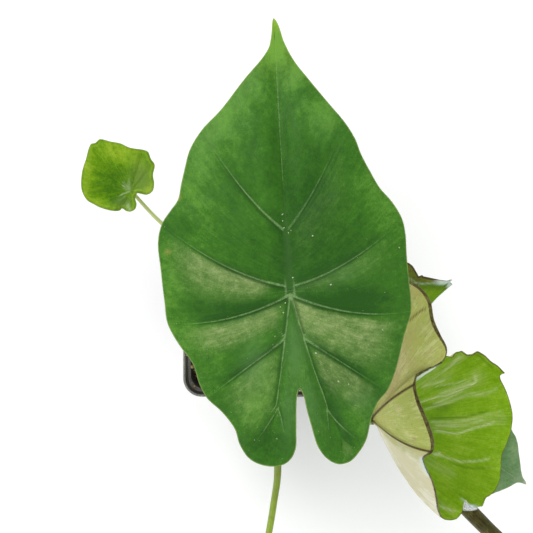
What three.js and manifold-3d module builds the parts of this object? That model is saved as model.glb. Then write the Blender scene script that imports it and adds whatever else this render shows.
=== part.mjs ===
// Potted calidora alocasia: a young elephant-ear plant with six leaves in a square nursery pot.
// Units are millimetres and +Z is up. The origin is the centre of the pot's underside.
// +Y is the way the main leaf's tip points.
import * as THREE from 'three';
import { mergeVertices } from 'three/addons/utils/BufferGeometryUtils.js';
import Module from 'manifold-3d';

const wasm = await Module();
wasm.setup();

// Clearance between pieces that touch
const GAP = 0.3;

// Pot: half widths of its rounded square section
const POT_HEIGHT = 90;
const POT_RIM_HALF = 52.5;
const POT_TOP_HALF = 49.5;
const POT_BASE_HALF = 38;
const POT_WALL = 1.4;
const POT_FLOOR = 2;
const POT_BAND_HEIGHT = 14;
const POT_CORNER_TOP = 9;
const POT_CORNER_BASE = 7;
const POT_FOOT_CHAMFER = 1.5;
const RIM_LIP = 1.3;
const RIM_GROOVE_WIDTH = 1.3;
const RIM_GROOVE_DEPTH = 1.6;
const DRAIN_RADIUS = 4;
const DRAIN_OFFSET = 24;
const DRAIN_SIDES = 8;
const CORNER_STEPS = 5;

// Soil
const SOIL_TOP = 76;
const SOIL_DOME = 2.5;
const SOIL_LUMP = 0.9;
const SOIL_RINGS = 4;
const SOIL_SIDE_STEPS = 3;
const CRUMB_COUNT = 26;
const CRUMB_SIZE = [2.2, 4.6];
const CRUMB_SUNK = 0.35;
const CRUMB_FIRST_RADIUS = 21;
const CRUMB_LAST_RADIUS = 45;
const SEED = 11;

// Stem: [radius, height] up its outline, buried below the soil's top
const STEM_PROFILE = [[7, 46], [11, 49], [13, 58], [13.6, 70], [13.2, 82], [11.8, 92], [9.4, 101], [6, 107]];
const STEM_SIDES = 16;
const STEM_PEAK = 109;
const STEM_FOOT = 45;

// Stalks
const STALK_SIDES = 8;
const STALK_STEPS = 16;
const STALK_CROWDING = 0.6;
const STALK_FLARE_POWER = 2.2;
const STALK_FOOT_SHARE = 0.4;
const STALK_FOOT_LENGTH = 14;

// Shield-shaped blade, seen flat from above with its stalk's top at the origin and its tip along +Y.
// Each margin point is x, y and how far out its vein starts on a rib: 1 at the midrib's end, 0 at the
// stalk, -1 at the end of a lobe's rib. The list runs tip, left side, left lobe, notch, right lobe, right side.
const SHIELD_MARGIN = [
  [-6.8, 117.6, 1],
  [-7.9, 108.8, 0.96],
  [-8.9, 104.3, 0.93],
  [-12.1, 98.9, 0.85],
  [-19.3, 90, 0.7],
  [-28.9, 77, 0.48],
  [-36.8, 68.5, 0.25],
  [-41.8, 60.1, 0.19],
  [-44, 51.6, 0.15],
  [-45.2, 46.2, 0.12],
  [-46.6, 39.1, 0.08],
  [-49.5, 34.9, 0.05],
  [-53.3, 29.1, 0.03],
  [-54.9, 21.6, 0.02],
  [-53.8, 10.8, 0.01],
  [-52.1, -3.3, 0],
  [-50.9, -12.1, 0],
  [-46.5, -20.4, -0.1],
  [-40.3, -29, -0.2],
  [-37.6, -37.4, -0.3],
  [-34.5, -43.2, -0.3],
  [-28.3, -49, -0.42],
  [-22.9, -56.1, -0.6],
  [-20.8, -62.9, -0.8],
  [-16.7, -68.8, -0.95],
  [-10, -71.7, -1],
  [-3.8, -71.5, -1],
  [0, -69.1, -0.95],
  [2.3, -64.5, -0.8],
  [2.6, -55.6, -0.6],
  [2.6, -46.3, -0.42],
  [2.8, -42.5, -0.3],
  [3.1, -40.9, -0.2],
  [3.5, -39.7, -0.1],
  [4, -39.2, 0],
  [4.5, -39.7, -0.1],
  [4.9, -40.6, -0.2],
  [5.7, -42.6, -0.3],
  [6.8, -47.6, -0.42],
  [8.9, -55.2, -0.6],
  [11.6, -63.6, -0.8],
  [15.4, -68.6, -0.95],
  [20, -71, -1],
  [25, -70, -1],
  [28.8, -66, -0.95],
  [31.7, -60.9, -0.8],
  [33.7, -52, -0.6],
  [36.5, -44.9, -0.42],
  [40.3, -40.4, -0.3],
  [42.8, -34.9, -0.3],
  [44.8, -28.3, -0.2],
  [47.3, -17.4, -0.1],
  [50.2, -7.1, 0],
  [49.3, 5.8, 0],
  [48.3, 16.2, 0.01],
  [47.9, 24.5, 0.02],
  [46.5, 31.1, 0.03],
  [42.3, 38.2, 0.05],
  [36.9, 44.4, 0.08],
  [33.6, 50.2, 0.12],
  [29.5, 58.2, 0.15],
  [27.1, 64.6, 0.19],
  [23, 71.4, 0.25],
  [16.4, 79.5, 0.48],
  [8.1, 89.9, 0.7],
  [1.8, 98.4, 0.85],
  [-1.1, 104.2, 0.93],
  [-3.2, 108.8, 0.96],
];
const SHIELD_NOTCH_POINT = 34;
const SHIELD_VEIN_POINTS = [0, 4, 6, 12, 16, 20, 24, 26, 34, 42, 44, 48, 52, 56, 62, 64];
const SHIELD_TIP_Y = 117.6;
const SHIELD_LOBE_Y = 71.7;
const SHIELD_HALF_WIDTH = 52;
const MIDRIB = [[0, 0], [-3.5, 50], [-6.5, 110.2]];
const LEFT_LOBE_RIB = [[0, 0], [-3.2, -30], [-8.3, -61.9]];
const RIGHT_LOBE_RIB = [[0, 0], [8.2, -29], [21.6, -62]];
const VEIN_SAG = 0.15;
const VEIN_SAG_END = -0.3;
const RIB_VALLEY = 1.4;
const RIB_VALLEY_WIDTH = 7;

// Young round blade: margin points about its stalk's top, x, y and z
const YOUNG_MARGIN = [
  [3.3, -1.1, 0.6],
  [8.2, -1.8, 1.8],
  [10.9, -0.1, 2.6],
  [11.6, 3.3, 1.6],
  [11.1, 7.7, 2.8],
  [11.9, 12.6, 2],
  [10.1, 15.5, 3.2],
  [8.7, 18.9, 2.4],
  [6.7, 19.9, 2],
  [-0.1, 20.9, 3.4],
  [-5, 23.1, 2.2],
  [-9.8, 24, 2.8],
  [-14.7, 25, 3.2],
  [-17.1, 23.3, 2.2],
  [-19.1, 22.8, 1.6],
  [-20.1, 20.9, 2.2],
  [-21.5, 15, 3.2],
  [-22.7, 12.1, 2.4],
  [-23.5, 7.7, 3],
  [-23.5, 0.4, 3.6],
  [-21, -4.5, 2.6],
  [-17.1, -6.9, 2.2],
  [-14.7, -8.1, 2.8],
  [-8.4, -9.8, 2.2],
  [-5.4, -9.6, 1.2],
  [-4, -8.6, 0.6],
  [-2, -9.8, 1.6],
  [0.4, -10.1, 3],
  [2.4, -8.9, 3.8],
  [3.1, -6.4, 3.2],
  [2.4, -3.5, 1.4],
];
const YOUNG_BELLY = -1.2;

// Cupped blade: points round its rim about its stalk's top. It runs up the far wall from the lowest
// point, round the curled tip, over the fold and back down the near wall.
const CUP_RIM = [
  [32.1, -46.1, 6],
  [38, -46.6, 3],
  [41.1, -43.6, 1],
  [42.5, -38.7, -1],
  [46.8, -41.5, -4],
  [51.4, -41.8, -6],
  [53.5, -38.3, -8],
  [57.6, -35.7, -10],
  [60.9, -29.4, -13],
  [62.2, -19.2, -16],
  [66.5, -9.4, -19],
  [67.9, 0.1, -20],
  [65.1, 10.8, -19],
  [61.3, 19.2, -16],
  [62.6, 21.2, -15],
  [55.8, 27.1, -11],
  [50.1, 31.2, -7],
  [45.4, 29.9, -4],
  [40.3, 31.9, -1],
  [35.2, 29.3, 3],
  [29.1, 34.3, 8],
  [24.8, 44.7, 13],
  [26.3, 55.9, 17],
  [31.9, 62.4, 21],
  [33.5, 64.7, 23],
  [28.7, 65.6, 25],
  [22.1, 67, 27],
  [18.4, 67.9, 28],
  [15, 72.4, 30],
  [11.7, 73.8, 32],
  [7.5, 72, 34],
  [8.2, 68.4, 36],
  [13.5, 65.3, 38],
  [18.3, 62.1, 39],
  [22.2, 56.8, 40],
  [23.9, 47.9, 41],
  [26.5, 41.7, 42],
  [29.6, 35, 42],
  [28.4, 30, 41],
  [22.3, 26.4, 39],
  [17.1, 22.9, 37],
  [16.1, 19, 36],
  [17.5, 12, 38],
  [21.3, 2.7, 40],
  [24.2, -6.4, 38],
  [24, -11.1, 36],
  [20.3, -14.7, 32],
  [21.4, -19, 30],
  [24.9, -25.9, 26],
  [27.5, -34.1, 19],
  [29.1, -41.1, 12],
];
const CUP_RIB_POINTS = [3, 9, 11, 13, 17, 21, 24, 30, 34, 41, 45];
const CUP_CENTRE = [37, 10, 12];
const CUP_BELLY_FLAT = 0.2;
const CUP_BELLY_UP = 0.5;

// Leaves: where each blade meets its stalk, the way its tip points, how far it hangs, and its shape
const MAIN_LEAF = {
  at: [2, 6, 300], heading: 90, hang: 0, scale: 1, mirror: false, thickness: 0.8, rib: 1.3,
  tipDroop: 28, lobeDroop: 9, sideDroop: 7, bulge: 1.8, rowsPerPoint: 2, steps: 5,
};
const FRONT_LEAF = {
  at: [-14, -150, 222], heading: -97, hang: 50, scale: 0.62, mirror: false, thickness: 0.8, rib: 0.9,
  tipDroop: 16, lobeDroop: 5, sideDroop: 6, bulge: 1.3, rowsPerPoint: 1, steps: 4,
};
const RIGHT_LEAF = {
  at: [150, -158, 205], heading: -46, hang: 50, scale: 0.85, mirror: true, thickness: 0.8, rib: 1.2,
  tipDroop: 24, lobeDroop: 7, sideDroop: 8, bulge: 1.6, rowsPerPoint: 1, steps: 4,
};
const HANGING_LEAF = {
  at: [93.3, -74, 106], heading: -30, hang: 36, scale: 0.6, mirror: true, thickness: 0.8, rib: 0.9,
  tipDroop: 14, lobeDroop: 9, sideDroop: 5, bulge: 1.3, rowsPerPoint: 1, steps: 4,
};
const YOUNG_LEAF = { at: [-74.2, 54.3, 170], thickness: 0.7, rib: 0.4, rowsPerPoint: 1, steps: 5 };
const CUP_LEAF = { at: [43, -54.4, 200], thickness: 0.8, rib: 0.8, rowsPerPoint: 2, steps: 5 };

// Stalks: route from inside the stem's flank to just short of the blade, base and top radius, and how
// far before the blade the stalk turns square to it
const MAIN_STALK = { route: [[0, 0, 90], [1, 2, 130], [4, 7, 215]], base: 9, top: 2.6, neck: 18 };
const CUP_STALK = { route: [[6.4, 6.4, 84], [12, 8, 115], [8, -32, 168]], base: 7, top: 2, neck: 16 };
const RIGHT_STALK = {
  route: [[4.5, -7.8, 84], [17, -22, 109], [50.2, -55.8, 139], [91.8, -102.4, 168]],
  base: 8, top: 3.4, neck: 22,
};
const HANGING_STALK = { route: [[8.8, -1.8, 84], [24, -9, 95], [60, -44, 99]], base: 5, top: 1.6, neck: 6 };
const FRONT_STALK = {
  route: [[-6, -6.7, 84], [-11, -18, 102], [-2.3, -78.8, 172], [-4.7, -97.8, 189]],
  base: 5.5, top: 1.5, neck: 18,
};
const YOUNG_STALK = {
  route: [[-7.9, 4.4, 84], [-18, 11, 104], [-42, 25, 139], [-61, 40, 158]],
  base: 4.4, top: 0.9, neck: 6,
};

// Finishes
const POT_BLACK = { color: 'rgb(42, 43, 38)', roughness: 0.55, metalness: 0 };
const SOIL_BROWN = { color: 'rgb(48, 36, 27)', roughness: 0.95, metalness: 0 };
const STEM_GREEN = { color: 'rgb(116, 128, 66)', roughness: 0.6, metalness: 0 };
const LEAF_GREEN = { color: 'rgb(62, 112, 46)', roughness: 0.42, metalness: 0 };
const LEAF_GREY_GREEN = { color: 'rgb(92, 126, 78)', roughness: 0.45, metalness: 0 };
const LEAF_LIME = { color: 'rgb(112, 152, 36)', roughness: 0.42, metalness: 0 };
const LEAF_YOUNG = { color: 'rgb(96, 142, 32)', roughness: 0.45, metalness: 0 };
const STALK_GREEN = { color: 'rgb(136, 156, 68)', roughness: 0.5, metalness: 0 };
const STALK_PALE = { color: 'rgb(180, 192, 123)', roughness: 0.5, metalness: 0 };
const STALK_DARK = { color: 'rgb(72, 72, 32)', roughness: 0.55, metalness: 0 };

// Repeatable random numbers from 0 to 1
function randomSource(seed) {
  let state = seed;
  return () => {
    state = (state + 0x6d2b79f5) | 0;
    let mixed = Math.imul(state ^ (state >>> 15), 1 | state);
    mixed = (mixed + Math.imul(mixed ^ (mixed >>> 7), 61 | mixed)) ^ mixed;
    return ((mixed ^ (mixed >>> 14)) >>> 0) / 4294967296;
  };
}

function closedGeometry(positions, index) {
  const geometry = new THREE.BufferGeometry();
  geometry.setAttribute('position', new THREE.Float32BufferAttribute(positions, 3));
  geometry.setIndex(index);
  return geometry;
}

// Joins loops of equal length into one closed body, with a fan over the first loop and the last.
function loft(loops) {
  const count = loops[0].length;
  const positions = [];
  const index = [];
  for (const loop of loops) {
    for (const point of loop) positions.push(point.x, point.y, point.z);
  }
  for (let ring = 0; ring + 1 < loops.length; ring++) {
    for (let i = 0; i < count; i++) {
      const next = (i + 1) % count;
      const a = ring * count + i;
      const b = ring * count + next;
      const c = (ring + 1) * count + next;
      const d = (ring + 1) * count + i;
      index.push(a, b, c, a, c, d);
    }
  }
  const foot = addCentre(positions, loops[0]);
  const head = addCentre(positions, loops[loops.length - 1]);
  const lastRing = (loops.length - 1) * count;
  for (let i = 0; i < count; i++) {
    const next = (i + 1) % count;
    index.push(foot, next, i);
    index.push(head, lastRing + i, lastRing + next);
  }
  return closedGeometry(positions, index);
}

function addCentre(positions, loop) {
  const centre = new THREE.Vector3();
  for (const point of loop) centre.addScaledVector(point, 1 / loop.length);
  positions.push(centre.x, centre.y, centre.z);
  return positions.length / 3 - 1;
}

// A square with round corners, counter-clockwise from above. A corner as large as the half width is a circle.
function roundedSquare(half, corner, z, sideSteps = 1) {
  const points = [];
  const inner = half - corner;
  for (let side = 0; side < 4; side++) {
    const turn = (side * Math.PI) / 2;
    const arc = [];
    for (let step = 0; step <= CORNER_STEPS; step++) {
      const angle = (step / CORNER_STEPS) * (Math.PI / 2);
      arc.push(new THREE.Vector3(inner + corner * Math.cos(angle), inner + corner * Math.sin(angle), z));
    }
    const sideStart = arc[arc.length - 1];
    for (let step = 1; step < sideSteps; step++) {
      const along = sideStart.x - (2 * inner * step) / sideSteps;
      arc.push(new THREE.Vector3(along, half, z));
    }
    for (const point of arc) {
      points.push(point.applyAxisAngle(new THREE.Vector3(0, 0, 1), turn));
    }
  }
  return points;
}

function circle(radius, z, count) {
  const points = [];
  for (let i = 0; i < count; i++) {
    const angle = (i / count) * 2 * Math.PI;
    points.push(new THREE.Vector3(radius * Math.cos(angle), radius * Math.sin(angle), z));
  }
  return points;
}

function toManifold(geometry) {
  const bare = geometry.clone();
  bare.deleteAttribute('normal');
  bare.deleteAttribute('uv');
  const merged = mergeVertices(bare);
  return new wasm.Manifold(new wasm.Mesh({
    numProp: 3,
    vertProperties: new Float32Array(merged.attributes.position.array),
    triVerts: new Uint32Array(merged.index.array),
  }));
}

function fromManifold(solid) {
  const mesh = solid.getMesh();
  return closedGeometry(Array.from(mesh.vertProperties), Array.from(mesh.triVerts));
}

function largestBody(solid) {
  const bodies = solid.decompose();
  return bodies.reduce((best, body) => (body.volume() > best.volume() ? body : best));
}

// Half width of the pot's outer wall below its rim band
function potHalf(z) {
  return POT_BASE_HALF + ((POT_TOP_HALF - POT_BASE_HALF) * z) / POT_HEIGHT;
}

function potCorner(z) {
  return POT_CORNER_BASE + ((POT_CORNER_TOP - POT_CORNER_BASE) * z) / POT_HEIGHT;
}

function innerWall(z, clearance) {
  const inset = POT_WALL + clearance;
  return { half: potHalf(z) - inset, corner: potCorner(z) - inset };
}

function potBody() {
  const bandFoot = POT_HEIGHT - POT_BAND_HEIGHT;
  const bandHalf = POT_RIM_HALF - 1;
  const grooveOuter = POT_RIM_HALF - RIM_LIP;
  const grooveInner = grooveOuter - RIM_GROOVE_WIDTH;
  const grooveFloor = POT_HEIGHT - RIM_GROOVE_DEPTH;
  const mouth = innerWall(POT_HEIGHT, 0);
  const floor = innerWall(POT_FLOOR, 0);
  const rimCorner = POT_CORNER_TOP + 1;
  const loops = [
    roundedSquare(POT_BASE_HALF - POT_FOOT_CHAMFER, POT_CORNER_BASE - POT_FOOT_CHAMFER, 0),
    roundedSquare(POT_BASE_HALF, POT_CORNER_BASE, POT_FOOT_CHAMFER),
    roundedSquare(potHalf(bandFoot), potCorner(bandFoot), bandFoot),
    roundedSquare(bandHalf, rimCorner - 1, bandFoot + 1),
    roundedSquare(bandHalf, rimCorner - 1, POT_HEIGHT - 3),
    roundedSquare(POT_RIM_HALF, rimCorner, POT_HEIGHT - 2),
    roundedSquare(POT_RIM_HALF, rimCorner, POT_HEIGHT - 0.5),
    roundedSquare(POT_RIM_HALF - 0.5, rimCorner - 0.5, POT_HEIGHT),
    roundedSquare(grooveOuter, rimCorner - RIM_LIP, POT_HEIGHT),
    roundedSquare(grooveOuter - 0.2, rimCorner - RIM_LIP, grooveFloor),
    roundedSquare(grooveInner + 0.2, rimCorner - RIM_LIP - RIM_GROOVE_WIDTH, grooveFloor),
    roundedSquare(grooveInner, rimCorner - RIM_LIP - RIM_GROOVE_WIDTH, POT_HEIGHT - 0.4),
    roundedSquare(mouth.half, mouth.corner, POT_HEIGHT - 0.4),
    roundedSquare(floor.half, floor.corner, POT_FLOOR),
  ];
  return loft(loops);
}

function pot() {
  let body = toManifold(potBody());
  const spots = [
    [DRAIN_OFFSET, DRAIN_OFFSET],
    [-DRAIN_OFFSET, DRAIN_OFFSET],
    [-DRAIN_OFFSET, -DRAIN_OFFSET],
    [DRAIN_OFFSET, -DRAIN_OFFSET],
  ];
  for (const [x, y] of spots) {
    const loops = [circle(DRAIN_RADIUS, -1, DRAIN_SIDES), circle(DRAIN_RADIUS, POT_FLOOR + 1, DRAIN_SIDES)];
    body = body.subtract(toManifold(loft(loops).translate(x, y, 0)));
  }
  return fromManifold(body);
}

function stemLoops(clearance) {
  const loops = [circle(1, STEM_FOOT - clearance, STEM_SIDES)];
  for (const [radius, z] of STEM_PROFILE) loops.push(circle(radius + clearance, z, STEM_SIDES));
  loops.push(circle(2 + clearance, STEM_PEAK + clearance, STEM_SIDES));
  return loops;
}

function soilHeight(x, y) {
  const away = Math.hypot(x, y) / POT_TOP_HALF;
  const lumps = Math.sin(x * 0.31 + 1) * Math.cos(y * 0.27) + 0.6 * Math.sin(x * 0.13 - y * 0.19);
  return SOIL_TOP + SOIL_DOME * (1 - away) + SOIL_LUMP * lumps;
}

// The plug of soil fills the pot and has a plain hole that the stem stands in.
function soilPlug() {
  const holeRadius = Math.max(...STEM_PROFILE.map(([radius]) => radius)) + 2 * GAP;
  const edge = innerWall(SOIL_TOP - 2, GAP);
  const floor = innerWall(POT_FLOOR, GAP);
  const loops = [
    roundedSquare(floor.half, floor.corner, POT_FLOOR + GAP, SOIL_SIDE_STEPS),
    roundedSquare(edge.half, edge.corner, SOIL_TOP - 2, SOIL_SIDE_STEPS),
  ];
  for (let ring = 0; ring <= SOIL_RINGS; ring++) {
    const inward = ring / SOIL_RINGS;
    const half = (edge.half - 0.5) * (1 - inward) + holeRadius * inward;
    const corner = edge.corner * (1 - inward) + holeRadius * inward;
    const loop = roundedSquare(half, corner, 0, SOIL_SIDE_STEPS);
    for (const point of loop) point.z = soilHeight(point.x, point.y);
    loops.push(loop);
  }
  const holeFloor = STEM_FOOT - 2 * GAP;
  loops.push(roundedSquare(holeRadius, holeRadius, holeFloor, SOIL_SIDE_STEPS));
  return loft(loops);
}

function crumb(random) {
  const [smallest, largest] = CRUMB_SIZE;
  const size = smallest + (largest - smallest) * random() ** 2;
  const lump = new THREE.IcosahedronGeometry(size, 0);
  lump.scale(1, 0.55 + 0.4 * random(), 0.45 + 0.3 * random());
  lump.rotateX(0.5 * (random() - 0.5));
  lump.rotateZ(Math.PI * random());
  const angle = 2 * Math.PI * random();
  const radius = CRUMB_FIRST_RADIUS + (CRUMB_LAST_RADIUS - CRUMB_FIRST_RADIUS) * Math.sqrt(random());
  const reach = POT_TOP_HALF - 2 * CRUMB_SIZE[1];
  const x = THREE.MathUtils.clamp(radius * Math.cos(angle), -reach, reach);
  const y = THREE.MathUtils.clamp(radius * Math.sin(angle), -reach, reach);
  lump.translate(x, y, soilHeight(x, y) + size * (0.5 - CRUMB_SUNK));
  return lump;
}

function soil() {
  const random = randomSource(SEED);
  let body = toManifold(soilPlug());
  for (let i = 0; i < CRUMB_COUNT; i++) body = body.add(toManifold(crumb(random)));
  return fromManifold(largestBody(body));
}

// Value of a curve through a closed list of points, with position counted in points
function marginPoint(points, position) {
  const count = points.length;
  const first = Math.floor(position);
  const part = position - first;
  const at = (offset) => points[(first + offset + count) % count];
  const spacing = (a, b) => Math.max(Math.sqrt(a.distanceTo(b)), 1e-4);
  const [p0, p1, p2, p3] = [at(-1), at(0), at(1), at(2)];
  const [d0, d1, d2] = [spacing(p0, p1), spacing(p1, p2), spacing(p2, p3)];
  const slope = (before, middle, after, stepBefore, stepAfter) => middle.clone().sub(before)
    .divideScalar(stepBefore)
    .sub(after.clone().sub(before).divideScalar(stepBefore + stepAfter))
    .add(after.clone().sub(middle).divideScalar(stepAfter))
    .multiplyScalar(d1);
  const start = slope(p0, p1, p2, d0, d1);
  const end = slope(p1, p2, p3, d1, d2);
  const square = part * part;
  const cube = square * part;
  return p1.clone().multiplyScalar(2 * cube - 3 * square + 1)
    .addScaledVector(start, cube - 2 * square + part)
    .addScaledVector(p2, 3 * square - 2 * cube)
    .addScaledVector(end, cube - square);
}

function bezier(a, b, c, part) {
  const rest = 1 - part;
  return a.clone().multiplyScalar(rest * rest)
    .addScaledVector(b, 2 * rest * part)
    .addScaledVector(c, part * part);
}

// How far a position lies between the veins beside it, from 0 at one to 1 at the next
function betweenVeins(veins, count, position) {
  const after = veins.find((vein) => vein > position) ?? veins[0] + count;
  const before = veins.filter((vein) => vein <= position).pop() ?? veins[veins.length - 1] - count;
  return (position - before) / (after - before);
}

// Gives a sheet its thickness. Rows run out from the ribs to the margin. A point holds its place and how
// much stouter the blade is below it. Both faces are split into the same triangles.
function thicken(rows, thickness) {
  const positions = [];
  const extra = [];
  const steps = rows[0].length;
  for (const row of rows) {
    for (const { place, rib } of row) {
      positions.push(place.x, place.y, place.z);
      extra.push(rib);
    }
  }
  const quads = [];
  for (let i = 0; i < rows.length; i++) {
    const next = (i + 1) % rows.length;
    for (let j = 0; j + 1 < steps; j++) {
      const a = i * steps + j;
      const b = i * steps + j + 1;
      const c = next * steps + j + 1;
      const d = next * steps + j;
      quads.push(a, b, c, a, c, d);
    }
  }
  const loose = closedGeometry(positions, quads);
  loose.setAttribute('rib', new THREE.Float32BufferAttribute(extra, 1));
  const sheet = mergeVertices(loose, 1e-3);
  sheet.setIndex(withoutSlivers(Array.from(sheet.index.array)));
  sheet.computeVertexNormals();
  return twoFaces(sheet, thickness);
}

function withoutSlivers(index) {
  const kept = [];
  for (let i = 0; i < index.length; i += 3) {
    const [a, b, c] = index.slice(i, i + 3);
    if (a !== b && b !== c && c !== a) kept.push(a, b, c);
  }
  return kept;
}

function twoFaces(sheet, thickness) {
  const { position, normal, rib } = sheet.attributes;
  const count = position.count;
  const upper = [];
  const lower = [];
  for (let i = 0; i < count; i++) {
    const place = new THREE.Vector3().fromBufferAttribute(position, i);
    const out = new THREE.Vector3().fromBufferAttribute(normal, i);
    upper.push(...place.clone().addScaledVector(out, thickness / 2).toArray());
    lower.push(...place.clone().addScaledVector(out, -thickness / 2 - rib.getX(i)).toArray());
  }
  const top = Array.from(sheet.index.array);
  const index = [...top];
  const edges = new Set();
  for (let i = 0; i < top.length; i += 3) {
    const [a, b, c] = top.slice(i, i + 3);
    index.push(count + a, count + c, count + b);
    for (const [from, to] of [[a, b], [b, c], [c, a]]) edges.add(`${from},${to}`);
  }
  for (const edge of edges) {
    const [from, to] = edge.split(',').map(Number);
    if (edges.has(`${to},${from}`)) continue;
    index.push(to, from, count + from, to, count + from, count + to);
  }
  const geometry = closedGeometry([...upper, ...lower], index);
  const out = new THREE.Vector3().fromBufferAttribute(normal, 0);
  const seat = new THREE.Vector3().fromBufferAttribute(geometry.attributes.position, count);
  geometry.userData.seat = { place: seat, out };
  return geometry;
}

function ribPoint(start, onRight) {
  const lobeRib = onRight ? RIGHT_LOBE_RIB : LEFT_LOBE_RIB;
  const points = (start >= 0 ? MIDRIB : lobeRib).map(([x, y]) => new THREE.Vector3(x, y, 0));
  return bezier(...points, Math.abs(start));
}

function shieldRelief(point, leaf) {
  const forward = Math.max(point.y, 0) / SHIELD_TIP_Y;
  const back = Math.max(-point.y, 0) / SHIELD_LOBE_Y;
  const side = point.x / SHIELD_HALF_WIDTH;
  return -leaf.tipDroop * forward ** 2.2 - leaf.lobeDroop * back ** 1.6 - leaf.sideDroop * side ** 2;
}

// One row of the shield-shaped blade, along the way a vein runs, from its rib out to the margin
function shieldRow(position, leaf) {
  const count = SHIELD_MARGIN.length;
  const first = Math.floor(position) % count;
  const part = position - Math.floor(position);
  const start = SHIELD_MARGIN[first][2] * (1 - part) + SHIELD_MARGIN[(first + 1) % count][2] * part;
  const edge = marginPoint(SHIELD_MARGIN.map(([x, y]) => new THREE.Vector3(x, y, 0)), position);
  const root = ribPoint(start, position > SHIELD_NOTCH_POINT);
  const length = root.distanceTo(edge);
  const sag = VEIN_SAG * length * THREE.MathUtils.smoothstep(start, VEIN_SAG_END, 0);
  const middle = root.clone().lerp(edge, 0.5);
  middle.y -= sag;
  const swell = Math.sin(Math.PI * betweenVeins(SHIELD_VEIN_POINTS, count, position));
  const row = [];
  for (let step = 0; step <= leaf.steps; step++) {
    const out = step / leaf.steps;
    const place = bezier(root, middle, edge, out);
    const away = (out * length) / RIB_VALLEY_WIDTH;
    place.z = shieldRelief(place, leaf) - RIB_VALLEY * Math.exp(-away * away);
    place.z += leaf.bulge * swell * 4 * out * (1 - out);
    place.x *= leaf.mirror ? -1 : 1;
    place.multiplyScalar(leaf.scale);
    row.push({ place, rib: step === 0 ? leaf.rib * (1 - 0.7 * Math.abs(start)) : 0 });
  }
  return row;
}

function shieldBlade(leaf) {
  const rows = [];
  const rowCount = SHIELD_MARGIN.length * leaf.rowsPerPoint;
  for (let i = 0; i < rowCount; i++) rows.push(shieldRow(i / leaf.rowsPerPoint, leaf));
  if (leaf.mirror) rows.reverse();
  return thicken(startAtStalk(rows), leaf.thickness);
}

// Turns the list of rows so that it starts with one that springs from the stalk's top.
function startAtStalk(rows) {
  const first = rows.findIndex((row) => row[0].place.length() < 2 * RIB_VALLEY && row[0].rib > 0);
  return [...rows.slice(first), ...rows.slice(0, first)];
}

// Rows that all spring from the stalk's top, each bent to the side that bend gives
function fanBlade(margin, veins, leaf, bend) {
  const points = margin.map((point) => new THREE.Vector3(...point));
  const rows = [];
  for (let i = 0; i < points.length * leaf.rowsPerPoint; i++) {
    const position = i / leaf.rowsPerPoint;
    const edge = marginPoint(points, position);
    const middle = edge.clone().multiplyScalar(0.5).add(bend(edge));
    const onVein = veins.includes(position);
    const row = [];
    for (let step = 0; step <= leaf.steps; step++) {
      const out = step / leaf.steps;
      const rib = onVein || step === 0 ? leaf.rib * (1 - out) : 0;
      row.push({ place: bezier(new THREE.Vector3(), middle, edge, out), rib });
    }
    rows.push(row);
  }
  return thicken(rows, leaf.thickness);
}

function youngBlade() {
  return fanBlade(YOUNG_MARGIN, [], YOUNG_LEAF, () => new THREE.Vector3(0, 0, YOUNG_BELLY));
}

function cupBlade() {
  const centre = new THREE.Vector3(...CUP_CENTRE);
  const belly = new THREE.Vector3(CUP_BELLY_FLAT, CUP_BELLY_FLAT, CUP_BELLY_UP);
  return fanBlade(CUP_RIM, CUP_RIB_POINTS, CUP_LEAF, (edge) => edge.clone().sub(centre).multiply(belly));
}

// Centre line of a stalk: up its route, then square to the blade it carries
function stalkCurve(blade, { route, neck }) {
  blade.updateMatrixWorld();
  const { place, out } = blade.geometry.userData.seat;
  const seat = blade.localToWorld(place.clone());
  const away = out.clone().transformDirection(blade.matrixWorld);
  const points = route.map((point) => new THREE.Vector3(...point));
  points.push(seat.clone().addScaledVector(away, -neck), seat.clone().addScaledVector(away, -GAP));
  return { curve: new THREE.CatmullRomCurve3(points), away };
}

// Radius of a stalk: a slim foot inside the stem, widest just above it, then easing to its top
function stalkRadius({ base, top }, part, length) {
  const flare = top + (base - top) * (1 - part) ** STALK_FLARE_POWER;
  const grown = THREE.MathUtils.smoothstep(part * length, 0, STALK_FOOT_LENGTH);
  return flare * (STALK_FOOT_SHARE + (1 - STALK_FOOT_SHARE) * grown);
}

// A round tube along a stalk's centre line, with its rings crowded towards both ends
function stalkTube(curve, shape, clearance) {
  const length = curve.getLength();
  const across = new THREE.Vector3(1, 0, 0);
  const loops = [];
  for (let step = 0; step <= STALK_STEPS; step++) {
    const turn = (step / STALK_STEPS) * 2 * Math.PI;
    const part = (turn - STALK_CROWDING * Math.sin(turn)) / (2 * Math.PI);
    const centre = curve.getPointAt(part);
    const along = curve.getTangentAt(part);
    const radius = stalkRadius(shape, part, length) + clearance;
    across.projectOnPlane(along).normalize();
    const aside = along.clone().cross(across);
    const loop = [];
    for (let i = 0; i < STALK_SIDES; i++) {
      const angle = (i / STALK_SIDES) * 2 * Math.PI;
      loop.push(centre.clone()
        .addScaledVector(across, radius * Math.cos(angle))
        .addScaledVector(aside, radius * Math.sin(angle)));
    }
    loops.push(loop);
  }
  return toManifold(loft(loops));
}

// A stalk hugs the stem and the stalks set before it, and ends just short of its blade. taken holds
// what it must stay clear of, and the stalk joins it.
function stalk(blade, shape, taken) {
  const { curve, away } = stalkCurve(blade, shape);
  const shift = away.clone().multiplyScalar(-GAP);
  const clearBlade = blade.geometry.clone().applyMatrix4(blade.matrixWorld).translate(...shift.toArray());
  let body = stalkTube(curve, shape, 0).subtract(toManifold(clearBlade));
  for (const solid of taken) body = body.subtract(solid);
  taken.push(stalkTube(curve, shape, GAP));
  return fromManifold(largestBody(body));
}

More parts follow.
